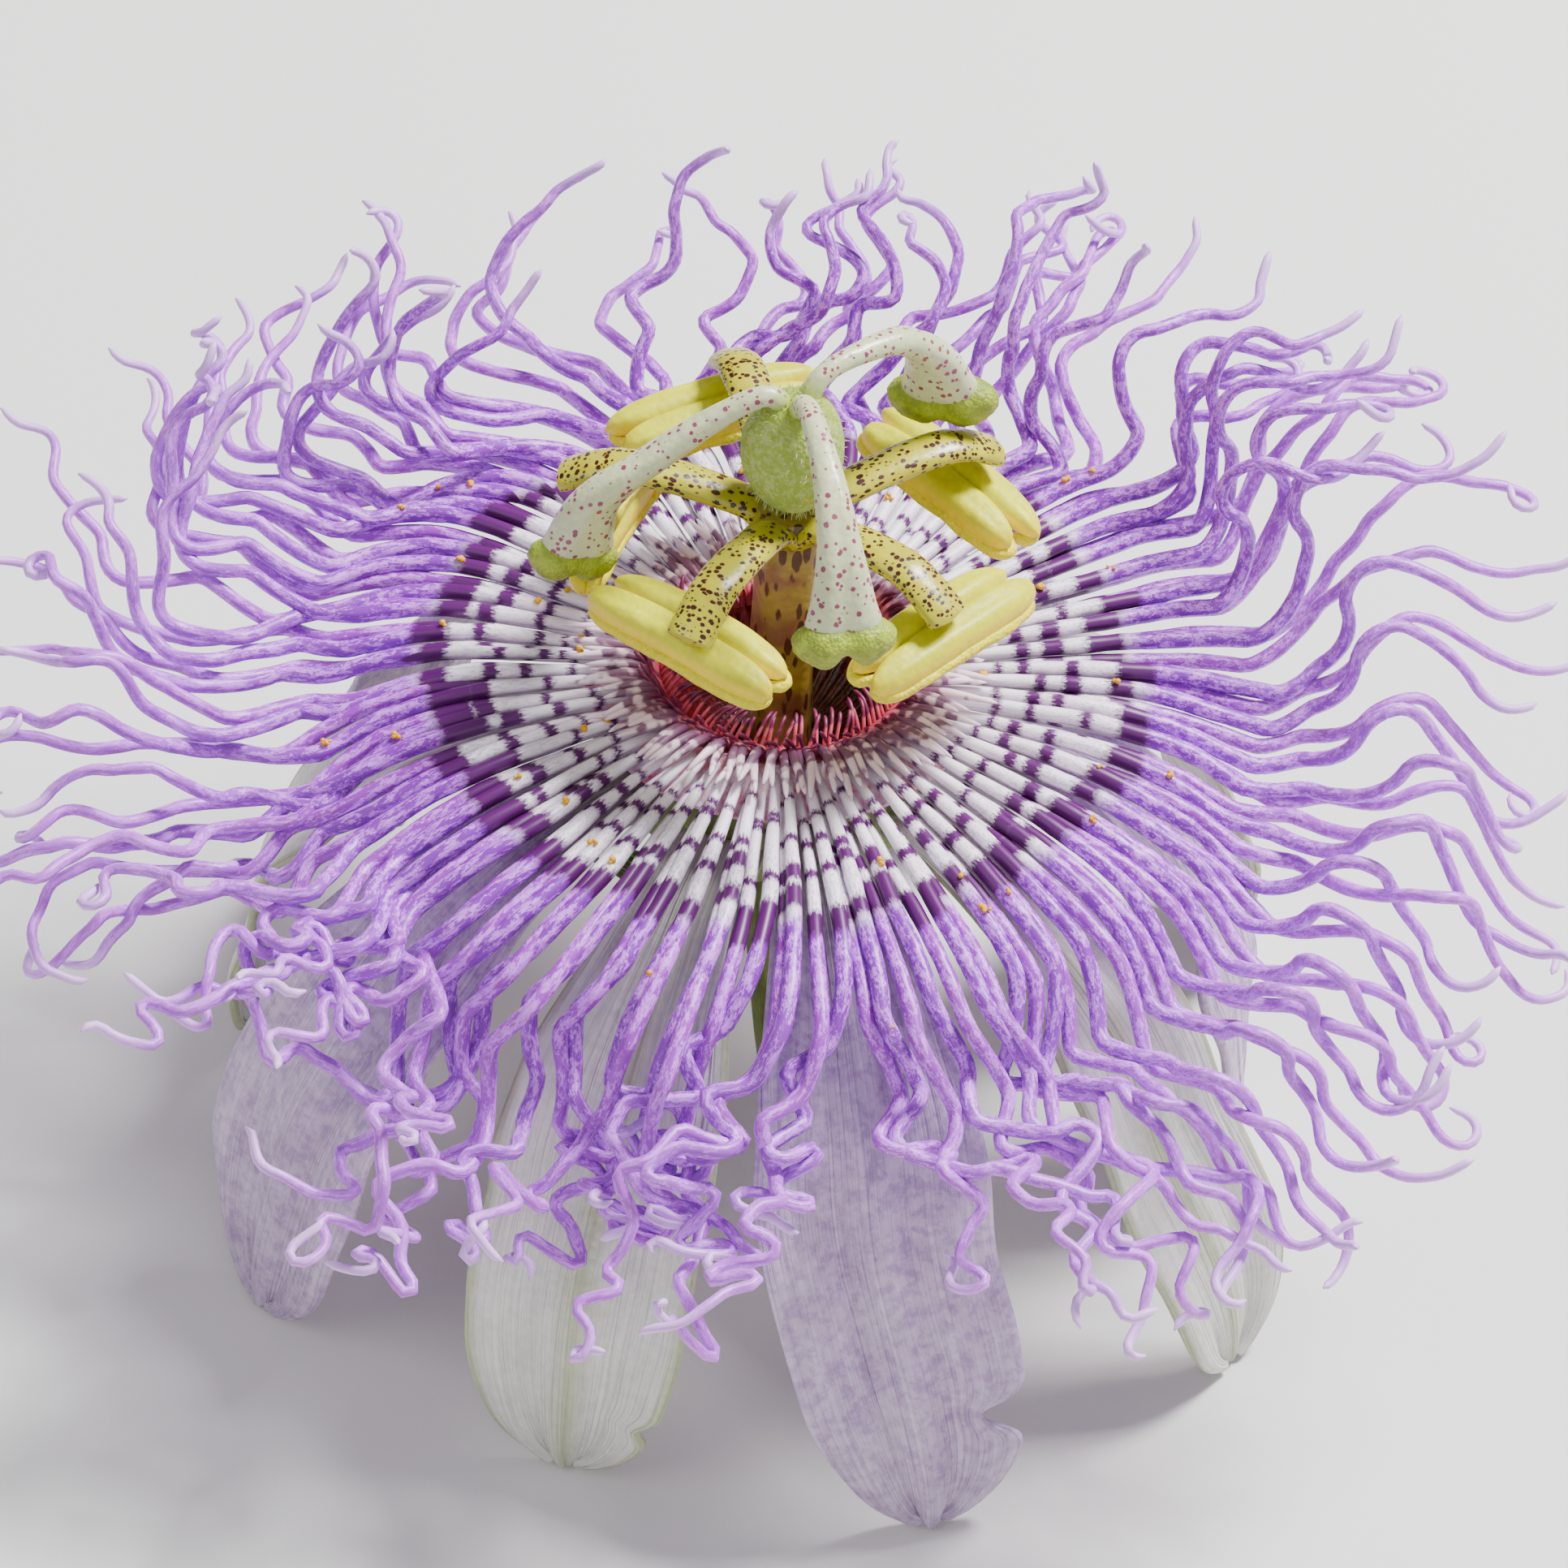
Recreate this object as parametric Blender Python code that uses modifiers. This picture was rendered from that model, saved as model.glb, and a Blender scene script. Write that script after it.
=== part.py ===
"""Passion flower: one open blossom with a short cut pedicel, resting face up on its reflexed tepals.

Units are metres and +Z is up.  z = 0 is the surface that the tips of the tepals rest on.  All pieces hang on
one empty on the flower's own axis, at the height of the crown (the plane where the corona's filaments leave
the cup), so heights in the pieces are measured from the crown.  Azimuths are in degrees, counted from the
front (-Y) towards the right (+X).
"""
import math

import bmesh
import bpy
from mathutils import Matrix, Vector
from mathutils.geometry import interpolate_bezier

MM = 0.001
CLEARANCE = 0.35 * MM

# the whole flower
CROWN_HEIGHT = 28.5 * MM
WHORL_PARTS = 5
TURNED_STEPS = 28

# pedicel and the three bracts below the cup
PEDICEL_RADIUS = 1.15 * MM
PEDICEL_TOP = -13.2 * MM
PEDICEL_END = -27.0 * MM
PEDICEL_LEAN = 1.2 * MM
BRACT_COUNT = 3
BRACT_LENGTH = 7.5 * MM
BRACT_WIDTH = 3.2 * MM
BRACT_THICKNESS = 0.6 * MM
BRACT_HEIGHT = -14.6 * MM

# floral cup
CUP_RADIUS = 7.9 * MM
CUP_RIM = -1.9 * MM
CUP_SIDE = -5.0 * MM
CUP_FLOOR = -7.8 * MM
CUP_BASE = -12.8 * MM
CUP_NECK_RADIUS = 1.4 * MM

# corona: two long outer rows, a short inner row, a fringe and the membrane that closes the cup
CORONA_HUB = (7.3 * MM, 7.9 * MM)
UPPER_ROW_HEIGHTS = (-0.4 * MM, 0.25 * MM)
LOWER_ROW_HEIGHTS = (-1.5 * MM, -0.85 * MM)
OUTER_ROW_COUNT = 60
OUTER_ROW_LENGTH = 28.5 * MM
OUTER_ROW_FLAT = 9.0 * MM
INNER_HUB = (6.45 * MM, 6.95 * MM)
INNER_ROW_HEIGHTS = (0.25 * MM, 0.85 * MM)
INNER_ROW_COUNT = 40
INNER_ROW_LENGTH = 3.9 * MM
FRINGE_HUB = (5.75 * MM, 6.15 * MM)
FRINGE_HEIGHTS = (-0.3 * MM, 0.2 * MM)
FRINGE_COUNT = 36
FRINGE_LENGTH = 1.9 * MM
MEMBRANE_THICKNESS = 0.5 * MM

# column, ovary, stamens and styles
COLUMN_RADIUS = 1.6 * MM
COLUMN_TOP = 9.7 * MM
OVARY_RADIUS = 2.5 * MM
OVARY_BASE = COLUMN_TOP + CLEARANCE
OVARY_HEIGHT = 6.2 * MM
STRAP_THICKNESS = 1.15 * MM
STRAP_WIDEN = 2.25
STRAP_ROOT = COLUMN_RADIUS + CLEARANCE
STRAP_ROOT_HEIGHT = 9.5 * MM
# each strap's azimuth, and the reach and height of its tip
STRAP_TIPS = (
    (-26.0, 9.3 * MM, 8.8 * MM),
    (51.0, 9.3 * MM, 8.8 * MM),
    (121.0, 10.5 * MM, 9.3 * MM),
    (198.0, 10.3 * MM, 10.2 * MM),
    (260.0, 10.4 * MM, 9.3 * MM),
)
ANTHER_SIZE = (3.7 * MM, 10.5 * MM, 2.1 * MM)
# where each anther hangs: azimuth, reach and height of its middle, and its turn, tilt and roll in degrees
ANTHER_PLACES = (
    (-34.0, 7.6 * MM, 6.9 * MM, -2.0, 0.0, 0.0),
    (57.0, 8.7 * MM, 6.9 * MM, -9.0, 0.0, 0.0),
    (127.0, 9.2 * MM, 7.4 * MM, 8.0, 4.0, 0.0),
    (204.0, 9.3 * MM, 8.3 * MM, 0.0, -4.0, 0.0),
    (246.5, 8.8 * MM, 5.8 * MM, 22.0, 16.0, 84.0),
)
STYLE_AZIMUTHS = {"front": 15.0, "right": 132.0, "left": -80.0}
STYLE_WIDEN = 1.5
STIGMA_SIZE = (2.6 * MM, 4.4 * MM, 2.2 * MM)

# sepals and petals: the azimuth of each one's tip, how far out it hangs, and its width
TEPAL_THICKNESS = 0.75 * MM
TEPAL_ROOT = CUP_RADIUS + CLEARANCE
TEPAL_GRID = (9, 5)
TEPAL_STEPS = 60
SEPAL_HEIGHT = -4.3 * MM
SEPAL_PLACES = (
    (-17.0, 27.2 * MM, 9.6 * MM),
    (51.0, 27.0 * MM, 8.8 * MM),
    (120.0, 26.2 * MM, 9.4 * MM),
    (192.0, 26.6 * MM, 9.6 * MM),
    (264.0, 26.0 * MM, 9.2 * MM),
)
PETAL_HEIGHT = -3.0 * MM
PETAL_PLACES = (
    (13.5, 28.6 * MM, 11.0 * MM),
    (86.0, 24.0 * MM, 10.2 * MM),
    (156.0, 27.2 * MM, 10.6 * MM),
    (228.0, 26.8 * MM, 10.8 * MM),
    (-53.0, 28.2 * MM, 11.4 * MM),
)


# ---------------------------------------------------------------------------------------------- helpers
def ease(value):
    """Smooth step from 0 to 1."""
    value = min(max(value, 0.0), 1.0)
    return value * value * (3.0 - 2.0 * value)


def between(low, high, share):
    return low + (high - low) * share


def outward(azimuth):
    """Unit vector away from the axis at an azimuth in degrees."""
    angle = math.radians(azimuth)
    return Vector((math.sin(angle), -math.cos(angle), 0.0))


def sideways(azimuth):
    """Unit vector along the rim at an azimuth in degrees."""
    angle = math.radians(azimuth)
    return Vector((math.cos(angle), math.sin(angle), 0.0))


def facing(azimuth):
    """Rotation about Z that turns +X to the azimuth."""
    return math.radians(azimuth - 90.0)


def start_scene():
    """Empties the scene, and makes the flower's collection and the empty that all its pieces hang on."""
    for old in list(bpy.data.objects):
        bpy.data.objects.remove(old)
    collection = bpy.data.collections.new("passion_flower")
    bpy.context.scene.collection.children.link(collection)
    axis = bpy.data.objects.new("flower_axis", None)
    axis.location = (0.0, 0.0, CROWN_HEIGHT)
    collection.objects.link(axis)
    return collection, axis


def material(name, color, roughness, metallic=0.0):
    """One Principled material in a plain colour."""
    finish = bpy.data.materials.get(name) or bpy.data.materials.new(name)
    finish.use_nodes = True
    shader = finish.node_tree.nodes["Principled BSDF"]
    shader.inputs["Base Color"].default_value = (*color, 1.0)
    shader.inputs["Roughness"].default_value = roughness
    shader.inputs["Metallic"].default_value = metallic
    finish.diffuse_color = (*color, 1.0)
    return finish


def add_piece(name, data, finish):
    """Links a mesh or a curve as one named piece of the flower."""
    piece = bpy.data.objects.new(name, data)
    data.materials.append(finish)
    FLOWER.objects.link(piece)
    piece.parent = AXIS
    return piece


def finish_mesh(mesh, name):
    """Writes a bmesh to a new mesh, with its faces out, smooth but for its real edges."""
    bmesh.ops.recalc_face_normals(mesh, faces=mesh.faces)
    data = bpy.data.meshes.new(name)
    mesh.to_mesh(data)
    mesh.free()
    data.shade_smooth()
    data.set_sharp_from_angle(angle=math.radians(40.0))
    return data


def turned(name, profile, finish):
    """A turned piece: a profile of (radius, height) from the top down, spun by a Screw modifier."""
    mesh = bmesh.new()
    points = [mesh.verts.new((radius, 0.0, height)) for radius, height in profile]
    for upper, lower in zip(points, points[1:]):
        mesh.edges.new((upper, lower))
    data = bpy.data.meshes.new(name)
    mesh.to_mesh(data)
    mesh.free()
    piece = add_piece(name, data, finish)
    screw = piece.modifiers.new("turn", "SCREW")
    screw.steps = TURNED_STEPS
    screw.render_steps = TURNED_STEPS
    screw.use_merge_vertices = True
    screw.merge_threshold = 0.00001
    screw.use_smooth_shade = True
    return piece


def arched_tube(name, azimuth, stations, widen, finish):
    """A strap or tube in one upright plane: stations are (reach, height, radius), widened across the plane."""
    curve = bpy.data.curves.new(name, "CURVE")
    curve.dimensions = "3D"
    curve.bevel_depth = 1.0
    curve.bevel_resolution = 2
    curve.use_fill_caps = True
    curve.resolution_u = 1
    curve.render_resolution_u = 0
    spline = curve.splines.new("POLY")
    spline.points.add(len(stations) - 1)
    for point, (reach, height, radius) in zip(spline.points, stations):
        point.co = (reach, 0.0, height, 1.0)
        point.radius = radius
    piece = add_piece(name, curve, finish)
    piece.rotation_euler.z = facing(azimuth)
    piece.scale.y = widen
    return piece


def through(points, count):
    """Stations spaced evenly along a smooth curve through a few (reach, height, radius) points."""
    stations = []
    last = len(points) - 1
    for step in range(count + 1):
        place = step / count * last
        index = min(int(place), last - 1)
        share = place - index
        before = Vector(points[max(index - 1, 0)])
        start = Vector(points[index])
        end = Vector(points[index + 1])
        after = Vector(points[min(index + 2, last)])
        stations.append(
            start
            + (end - before) * 0.5 * share
            + (2.0 * before - 5.0 * start + 4.0 * end - after) * 0.5 * share ** 2
            + (3.0 * start - before - 3.0 * end + after) * 0.5 * share ** 3
        )
    return stations


# ------------------------------------------------------------------------------------------------ corona
def droop(azimuth):
    """How far a long filament's outer part points down (negative) or up, in degrees."""
    return -7.0 - 17.0 * math.cos(math.radians(azimuth))


def sway(azimuth):
    """How far a long filament's outer part turns along the rim, in degrees."""
    return 12.0 * math.sin(math.radians(3.0 * azimuth + 40.0)) + 6.0 * math.sin(math.radians(azimuth))


def long_filament(azimuth, reach, height, lengths):
    """Frames along one long filament, flat over the disc and then swaying and drooping."""
    frames = []
    place = outward(azimuth) * reach
    place.z = height
    travelled = 0.0
    for length in lengths:
        middle = (travelled + length) / 2
        bent = ease((middle - OUTER_ROW_FLAT) / (OUTER_ROW_LENGTH - OUTER_ROW_FLAT))
        yaw = azimuth + sway(azimuth) * bent
        pitch = math.radians(droop(azimuth) * (0.35 * ease(middle / OUTER_ROW_FLAT) + 0.95 * bent))
        ahead = outward(yaw) * math.cos(pitch)
        ahead.z = math.sin(pitch)
        place = place + ahead * (length - travelled)
        travelled = length
        side = sideways(yaw)
        frames.append((place.copy(), side, ahead.cross(side)))
    return frames


def grow_finger(mesh, face, start, frames, sizes):
    """Extrudes one face of a hub through a list of frames; sizes are its (width, thickness) at each frame."""
    before = start
    for frame, (width, thickness) in zip(frames, sizes):
        face = bmesh.ops.extrude_discrete_faces(mesh, faces=[face])["faces"][0]
        centre, side, up = before
        signs = []
        for corner in face.verts:
            offset = corner.co - centre
            signs.append((math.copysign(0.5, offset.dot(side)), math.copysign(0.5, offset.dot(up))))
        place, across, above = frame
        for corner, (left, top) in zip(face.verts, signs):
            corner.co = place + across * width * left + above * thickness * top
        before = frame


def whorl(name, hub, heights, count, azimuth, fingers, sizes, outer, finish):
    """A row of filaments grown as one piece: a square hub ring with every second face of a wall extruded.

    fingers(azimuth, reach, height) gives the frames that one filament passes through.
    """
    inner_radius, outer_radius = hub
    low, high = heights
    half_step = 180.0 / count
    first = azimuth - half_step / 2
    mesh = bmesh.new()
    corners = []
    for radius, height in ((inner_radius, low), (outer_radius, low), (outer_radius, high), (inner_radius, high)):
        place = outward(first) * radius
        place.z = height
        corners.append(mesh.verts.new(place))
    edges = [mesh.edges.new((corners[k], corners[(k + 1) % 4])) for k in range(4)]
    bmesh.ops.spin(
        mesh, geom=corners + edges, cent=(0.0, 0.0, 0.0), axis=(0.0, 0.0, 1.0),
        angle=2.0 * math.pi, steps=2 * count, use_merge=True,
    )
    bmesh.ops.remove_doubles(mesh, verts=mesh.verts, dist=0.00001)
    bmesh.ops.recalc_face_normals(mesh, faces=mesh.faces)
    wall = outer_radius if outer else inner_radius
    wall_faces = {}
    for face in mesh.faces:
        if all(abs(corner.co.xy.length - wall) < 0.01 * MM for corner in face.verts):
            centre = face.calc_center_median()
            place = math.degrees(math.atan2(centre.x, -centre.y)) - azimuth
            wall_faces[round(place / half_step) % (2 * count)] = face
    for number in range(count):
        here = azimuth + number * 2 * half_step
        face = wall_faces[2 * number]
        start = (face.calc_center_median(), sideways(here), Vector((0.0, 0.0, 1.0)))
        grow_finger(mesh, face, start, fingers(here, wall, (low + high) / 2), sizes)
    return add_piece(name, finish_mesh(mesh, name), finish)


def outer_rows():
    """The two long rows: the lower one half a step further round, so that it shows between the upper one."""
    lengths = [share * OUTER_ROW_LENGTH for share in (0.13, 0.32, 0.53, 0.77, 1.0)]
    sizes = [(0.80 * MM, 0.50 * MM), (1.05 * MM, 0.55 * MM), (0.95 * MM, 0.5 * MM), (0.8 * MM, 0.45 * MM),
             (0.5 * MM, 0.4 * MM)]

    def finger(azimuth, reach, height):
        return long_filament(azimuth, reach, height, lengths)

    violet = material("filament_violet", (0.50, 0.27, 0.80), 0.45)
    magenta = material("filament_lilac", (0.62, 0.36, 0.80), 0.45)
    step = 360.0 / OUTER_ROW_COUNT
    whorl("corona_upper_row", CORONA_HUB, UPPER_ROW_HEIGHTS, OUTER_ROW_COUNT, 0.0, finger, sizes, True, violet)
    whorl("corona_lower_row", CORONA_HUB, LOWER_ROW_HEIGHTS, OUTER_ROW_COUNT, step / 2, finger, sizes, True,
          magenta)


def inner_row():
    """Short pointed filaments that lie on the long rows."""
    rise = 0.35 * MM

    def finger(azimuth, reach, height):
        frames = []
        for share in (0.25, 1.0):
            place = outward(azimuth) * (reach + share * INNER_ROW_LENGTH)
            place.z = height + rise
            frames.append((place, sideways(azimuth), Vector((0.0, 0.0, 1.0))))
        return frames

    sizes = [(0.55 * MM, 0.4 * MM), (0.3 * MM, 0.25 * MM)]
    pale = material("filament_white", (0.80, 0.72, 0.78), 0.5)
    whorl("corona_inner_row", INNER_HUB, INNER_ROW_HEIGHTS, INNER_ROW_COUNT, 0.0, finger, sizes, True, pale)


def fringe():
    """Stubby dark-tipped filaments that stand round the throat and lean in over it."""

    def finger(azimuth, reach, height):
        frames = []
        for share, lean in ((0.4, 0.8), (1.0, 0.55)):
            place = outward(azimuth) * (reach - share * lean * FRINGE_LENGTH)
            place.z = height + share * (1.0 - lean / 2) * FRINGE_LENGTH
            frames.append((place, sideways(azimuth), outward(azimuth) * 0.5 + Vector((0.0, 0.0, 0.85))))
        return frames

    sizes = [(0.4 * MM, 0.35 * MM), (0.3 * MM, 0.3 * MM)]
    dark = material("fringe_maroon", (0.28, 0.02, 0.07), 0.5)
    whorl("corona_fringe", FRINGE_HUB, FRINGE_HEIGHTS, FRINGE_COUNT, 0.0, finger, sizes, False, dark)


def operculum():
    """The ribbed membrane under the fringe: a funnel of even thickness that closes the cup round the column."""
    profile = [(6.1 * MM, -0.7 * MM), (5.7 * MM, -1.9 * MM), (4.7 * MM, -3.3 * MM), (3.4 * MM, -4.4 * MM),
               (2.3 * MM, -5.0 * MM)]
    funnel = turned("operculum", profile, material("throat_red", (0.45, 0.05, 0.10), 0.4))
    shell = funnel.modifiers.new("wall", "SOLIDIFY")
    shell.thickness = MEMBRANE_THICKNESS
    shell.offset = 0.0


# ------------------------------------------------------------------------------------- cup, pedicel, bracts
def floral_cup():
    """The bowl below the crown, open at its top, with a neck that meets the pedicel."""
    profile = [
        (0.0, CUP_FLOOR),
        (2.6 * MM, CUP_FLOOR),
        (5.0 * MM, -6.6 * MM),
        (6.6 * MM, -4.4 * MM),
        (6.9 * MM, CUP_RIM),
        (CUP_RADIUS, CUP_RIM),
        (CUP_RADIUS, CUP_SIDE),
        (7.1 * MM, -7.2 * MM),
        (5.4 * MM, -9.3 * MM),
        (3.0 * MM, -10.9 * MM),
        (1.7 * MM, -11.8 * MM),
        (CUP_NECK_RADIUS, CUP_BASE),
        (0.0, CUP_BASE),
    ]
    turned("floral_cup", profile, material("cup_green", (0.30, 0.42, 0.12), 0.5))


def pedicel():
    """The short stalk left on the picked flower, cut square just above the surface."""
    points = [
        (0.0, PEDICEL_TOP, PEDICEL_RADIUS),
        (0.0, PEDICEL_TOP - 3.0 * MM, PEDICEL_RADIUS * 0.95),
        (PEDICEL_LEAN * 0.5, between(PEDICEL_TOP, PEDICEL_END, 0.6), PEDICEL_RADIUS * 0.95),
        (PEDICEL_LEAN, PEDICEL_END, PEDICEL_RADIUS),
    ]
    arched_tube("pedicel", 100.0, through(points, 8), 1.0, material("stalk_green", (0.28, 0.36, 0.08), 0.55))


def bracts():
    """Three leafy bracts round the top of the pedicel."""
    green = material("bract_green", (0.20, 0.36, 0.06), 0.5)
    for number in range(BRACT_COUNT):
        azimuth = 40.0 + number * 360.0 / BRACT_COUNT
        mesh = bmesh.new()
        bmesh.ops.create_grid(mesh, x_segments=4, y_segments=2, size=0.5)
        for corner in mesh.verts:
            along = corner.co.x + 0.5
            width = BRACT_WIDTH * (0.30 + 2.2 * along * (1.0 - along) + 0.10 * (1.0 - along))
            lift = BRACT_LENGTH * 0.35 * along * along
            corner.co = (along * BRACT_LENGTH, corner.co.y * width, lift)
        name = f"bract_{number + 1}"
        piece = add_piece(name, finish_mesh(mesh, name), green)
        piece.location = outward(azimuth) * (PEDICEL_RADIUS + CLEARANCE + 0.1 * MM)
        piece.location.z = BRACT_HEIGHT
        piece.rotation_euler.z = facing(azimuth)
        blade = piece.modifiers.new("blade", "SOLIDIFY")
        blade.thickness = BRACT_THICKNESS
        blade.offset = 0.0


# ------------------------------------------------------------------------------------------------- tepals
def tepal_line(reach, height):
    """Points down the middle of a tepal: level where it leaves the cup, then hanging to the surface."""
    spread = reach - TEPAL_ROOT
    drop = CROWN_HEIGHT + height
    root = Vector((TEPAL_ROOT, 0.0, height))
    level = Vector((TEPAL_ROOT + 0.62 * spread, 0.0, height - 0.03 * drop))
    bend = Vector((reach + 0.02 * spread, 0.0, height - 0.42 * drop))
    tip = Vector((reach, 0.0, -CROWN_HEIGHT))
    return interpolate_bezier(root, level, bend, tip, TEPAL_STEPS + 1)


def tepal_width(share, width):
    """Width at a share of the length: a broad claw that swells to a strap with a round end."""
    swell = 0.45 + 0.55 * ease(share / 0.55)
    end = math.sqrt(max(1.0 - (max(share - 0.78, 0.0) / 0.225) ** 2, 0.03))
    return width * swell * end


def tepal(name, place, height, finish):
    """One sepal or petal: a bent sheet with a slight channel along it, thickened by Solidify."""
    azimuth, reach, width = place
    along, across = TEPAL_GRID
    line = tepal_line(reach, height)
    mesh = bmesh.new()
    bmesh.ops.create_grid(mesh, x_segments=along, y_segments=across, size=0.5)
    for corner in mesh.verts:
        share = math.sin((corner.co.x + 0.5) * math.pi / 2)
        half = corner.co.y
        index = min(round(share * TEPAL_STEPS), TEPAL_STEPS - 1)
        ahead = (line[index + 1] - line[index]).normalized()
        below = Vector((ahead.z, 0.0, -ahead.x))
        depth = 0.4 * width * (0.25 - half * half) * ease(share / 0.3) * ease((1.0 - share) / 0.25)
        corner.co = line[round(share * TEPAL_STEPS)] + below * depth
        corner.co.y = half * tepal_width(share, width)
    piece = add_piece(name, finish_mesh(mesh, name), finish)
    piece.rotation_euler.z = facing(azimuth)
    blade = piece.modifiers.new("blade", "SOLIDIFY")
    blade.thickness = TEPAL_THICKNESS
    blade.offset = 0.0


def tepals():
    """Five green-backed sepals opposite the stamens, and five petals between and above them."""
    sepal_white = material("sepal_white", (0.62, 0.68, 0.50), 0.5)
    petal_white = material("petal_white", (0.72, 0.66, 0.80), 0.5)
    for number in range(WHORL_PARTS):
        tepal(f"sepal_{number + 1}", SEPAL_PLACES[number], SEPAL_HEIGHT, sepal_white)
        tepal(f"petal_{number + 1}", PETAL_PLACES[number], PETAL_HEIGHT, petal_white)


# ------------------------------------------------------------------------- column, ovary, stamens, styles
def column():
    """The androgynophore, from the floor of the cup up through the throat."""
    foot = CUP_FLOOR + CLEARANCE
    profile = [
        (0.0, COLUMN_TOP),
        (COLUMN_RADIUS, COLUMN_TOP),
        (COLUMN_RADIUS * 1.02, COLUMN_TOP - 1.5 * MM),
        (COLUMN_RADIUS * 0.94, 3.0 * MM),
        (COLUMN_RADIUS, -3.5 * MM),
        (COLUMN_RADIUS * 1.35, foot),
        (0.0, foot),
    ]
    turned("androgynophore", profile, material("column_brown", (0.38, 0.20, 0.12), 0.5))


def ovary():
    """The egg on the column's top."""
    count = 8
    profile = []
    for step in range(count + 1):
        angle = math.pi * step / count
        height = OVARY_BASE + OVARY_HEIGHT * (1.0 + math.cos(angle)) / 2
        profile.append((OVARY_RADIUS * math.sin(angle) ** 0.85 if 0 < step < count else 0.0, height))
    turned("ovary", profile, material("ovary_green", (0.45, 0.55, 0.22), 0.7))


def stamens():
    """Five spotted straps that spread from the column's top, each with an anther hung under its tip."""
    strap = material("strap_green", (0.58, 0.60, 0.15), 0.35)
    yellow = material("anther_yellow", (0.78, 0.75, 0.18), 0.5)
    half = STRAP_THICKNESS / 2
    for number in range(WHORL_PARTS):
        azimuth, reach, height = STRAP_TIPS[number]
        spread = reach - STRAP_ROOT
        points = [
            (STRAP_ROOT, STRAP_ROOT_HEIGHT, half * 0.85),
            (STRAP_ROOT + 0.34 * spread, between(STRAP_ROOT_HEIGHT, height, 0.3) + 0.55 * MM, half),
            (STRAP_ROOT + 0.66 * spread, between(STRAP_ROOT_HEIGHT, height, 0.6) + 0.85 * MM, half * 0.95),
            (STRAP_ROOT + 0.87 * spread, height + 0.75 * MM, half * 0.9),
            (reach, height, half * 0.8),
        ]
        arched_tube(f"stamen_filament_{number + 1}", azimuth, through(points, 7), STRAP_WIDEN, strap)
        anther(f"anther_{number + 1}", ANTHER_PLACES[number], yellow)


def anther(name, place, finish):
    """A rounded loaf of pollen sacs, across the end of its filament."""
    azimuth, reach, height, turn, tilt, roll = place
    mesh = bmesh.new()
    bmesh.ops.create_cube(mesh, size=1.0, matrix=Matrix.Diagonal((*ANTHER_SIZE, 1.0)))
    piece = add_piece(name, finish_mesh(mesh, name), finish)
    piece.location = outward(azimuth) * reach
    piece.location.z = height
    piece.rotation_mode = "YXZ"
    piece.rotation_euler = (math.radians(tilt), math.radians(roll), facing(azimuth + turn))
    edge = piece.modifiers.new("round", "BEVEL")
    edge.width = 0.95 * MM
    edge.segments = 2
    edge.limit_method = "NONE"


def styles():
    """Three styles that arch out from the ovary's top, each ending in a stigma."""
    pale = material("style_pale", (0.74, 0.76, 0.66), 0.45)
    pad = material("stigma_green", (0.55, 0.62, 0.14), 0.5)
    top = OVARY_BASE + OVARY_HEIGHT
    points = {
        "front": [(0.95, 0.6, 0.55), (3.4, 0.9, 0.65), (6.6, 0.1, 0.8), (9.2, -2.1, 1.0), (10.4, -4.9, 1.15)],
        "right": [(0.95, 0.6, 0.55), (3.4, 1.1, 0.65), (6.2, 0.8, 0.8), (8.3, -0.8, 1.0), (9.7, -3.3, 1.15)],
        "left": [(0.95, 0.6, 0.55), (3.5, -0.2, 0.65), (6.4, -2.0, 0.8), (8.7, -4.2, 1.0), (9.9, -6.9, 1.15)],
    }
    for side, azimuth in STYLE_AZIMUTHS.items():
        route = [(reach * MM, top + height * MM, radius * MM) for reach, height, radius in points[side]]
        stations = through(route, 8)
        arched_tube(f"style_{side}", azimuth, stations, STYLE_WIDEN, pale)
        reach, height, _ = stations[-1]
        before_reach, before_height, _ = stations[-2]
        ahead = Vector((reach - before_reach, 0.0, height - before_height)).normalized()
        stigma(f"stigma_{side}", azimuth, (reach, height), ahead, pad)


def stigma(name, azimuth, end, ahead, finish):
    """A broad rounded pad across the end of its style."""
    mesh = bmesh.new()
    bmesh.ops.create_uvsphere(
        mesh, u_segments=12, v_segments=8, radius=0.5, matrix=Matrix.Diagonal((*STIGMA_SIZE, 1.0))
    )
    piece = add_piece(name, finish_mesh(mesh, name), finish)
    reach = end[0] + ahead.x * (STIGMA_SIZE[2] / 2 + CLEARANCE)
    piece.location = outward(azimuth) * reach
    piece.location.z = end[1] + ahead.z * (STIGMA_SIZE[2] / 2 + CLEARANCE)
    piece.rotation_euler.z = facing(azimuth)
    piece.rotation_euler.y = math.atan2(ahead.x, ahead.z)


def stand_on_origin():
    """Moves the axis empty until the flower's box stands on z = 0, centred on the origin."""
    bpy.context.view_layer.update()
    graph = bpy.context.evaluated_depsgraph_get()
    low = Vector((math.inf, math.inf, math.inf))
    high = -low
    for piece in FLOWER.objects:
        if piece.type == "EMPTY":
            continue
        solid = piece.evaluated_get(graph)
        data = solid.to_mesh()
        for corner in data.vertices:
            place = solid.matrix_world @ corner.co
            low = Vector(map(min, low, place))
            high = Vector(map(max, high, place))
        solid.to_mesh_clear()
    AXIS.location.xy -= (low + high).xy / 2
    AXIS.location.z -= low.z


FLOWER, AXIS = start_scene()
pedicel()
bracts()
floral_cup()
tepals()
outer_rows()
inner_row()
fringe()
operculum()
column()
ovary()
stamens()
styles()
stand_on_origin()
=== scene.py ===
"""Passion flower: the finished look of one open blossom, built round its fixed frame.

Points are in metres and +Z is up.  A place on the flower has an azimuth, in degrees from the front (-Y)
towards the right (+X), a reach from the axis and a height over the crown, the plane where the filaments leave
the cup.  Reaches, heights and widths are in millimetres.
"""

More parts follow.
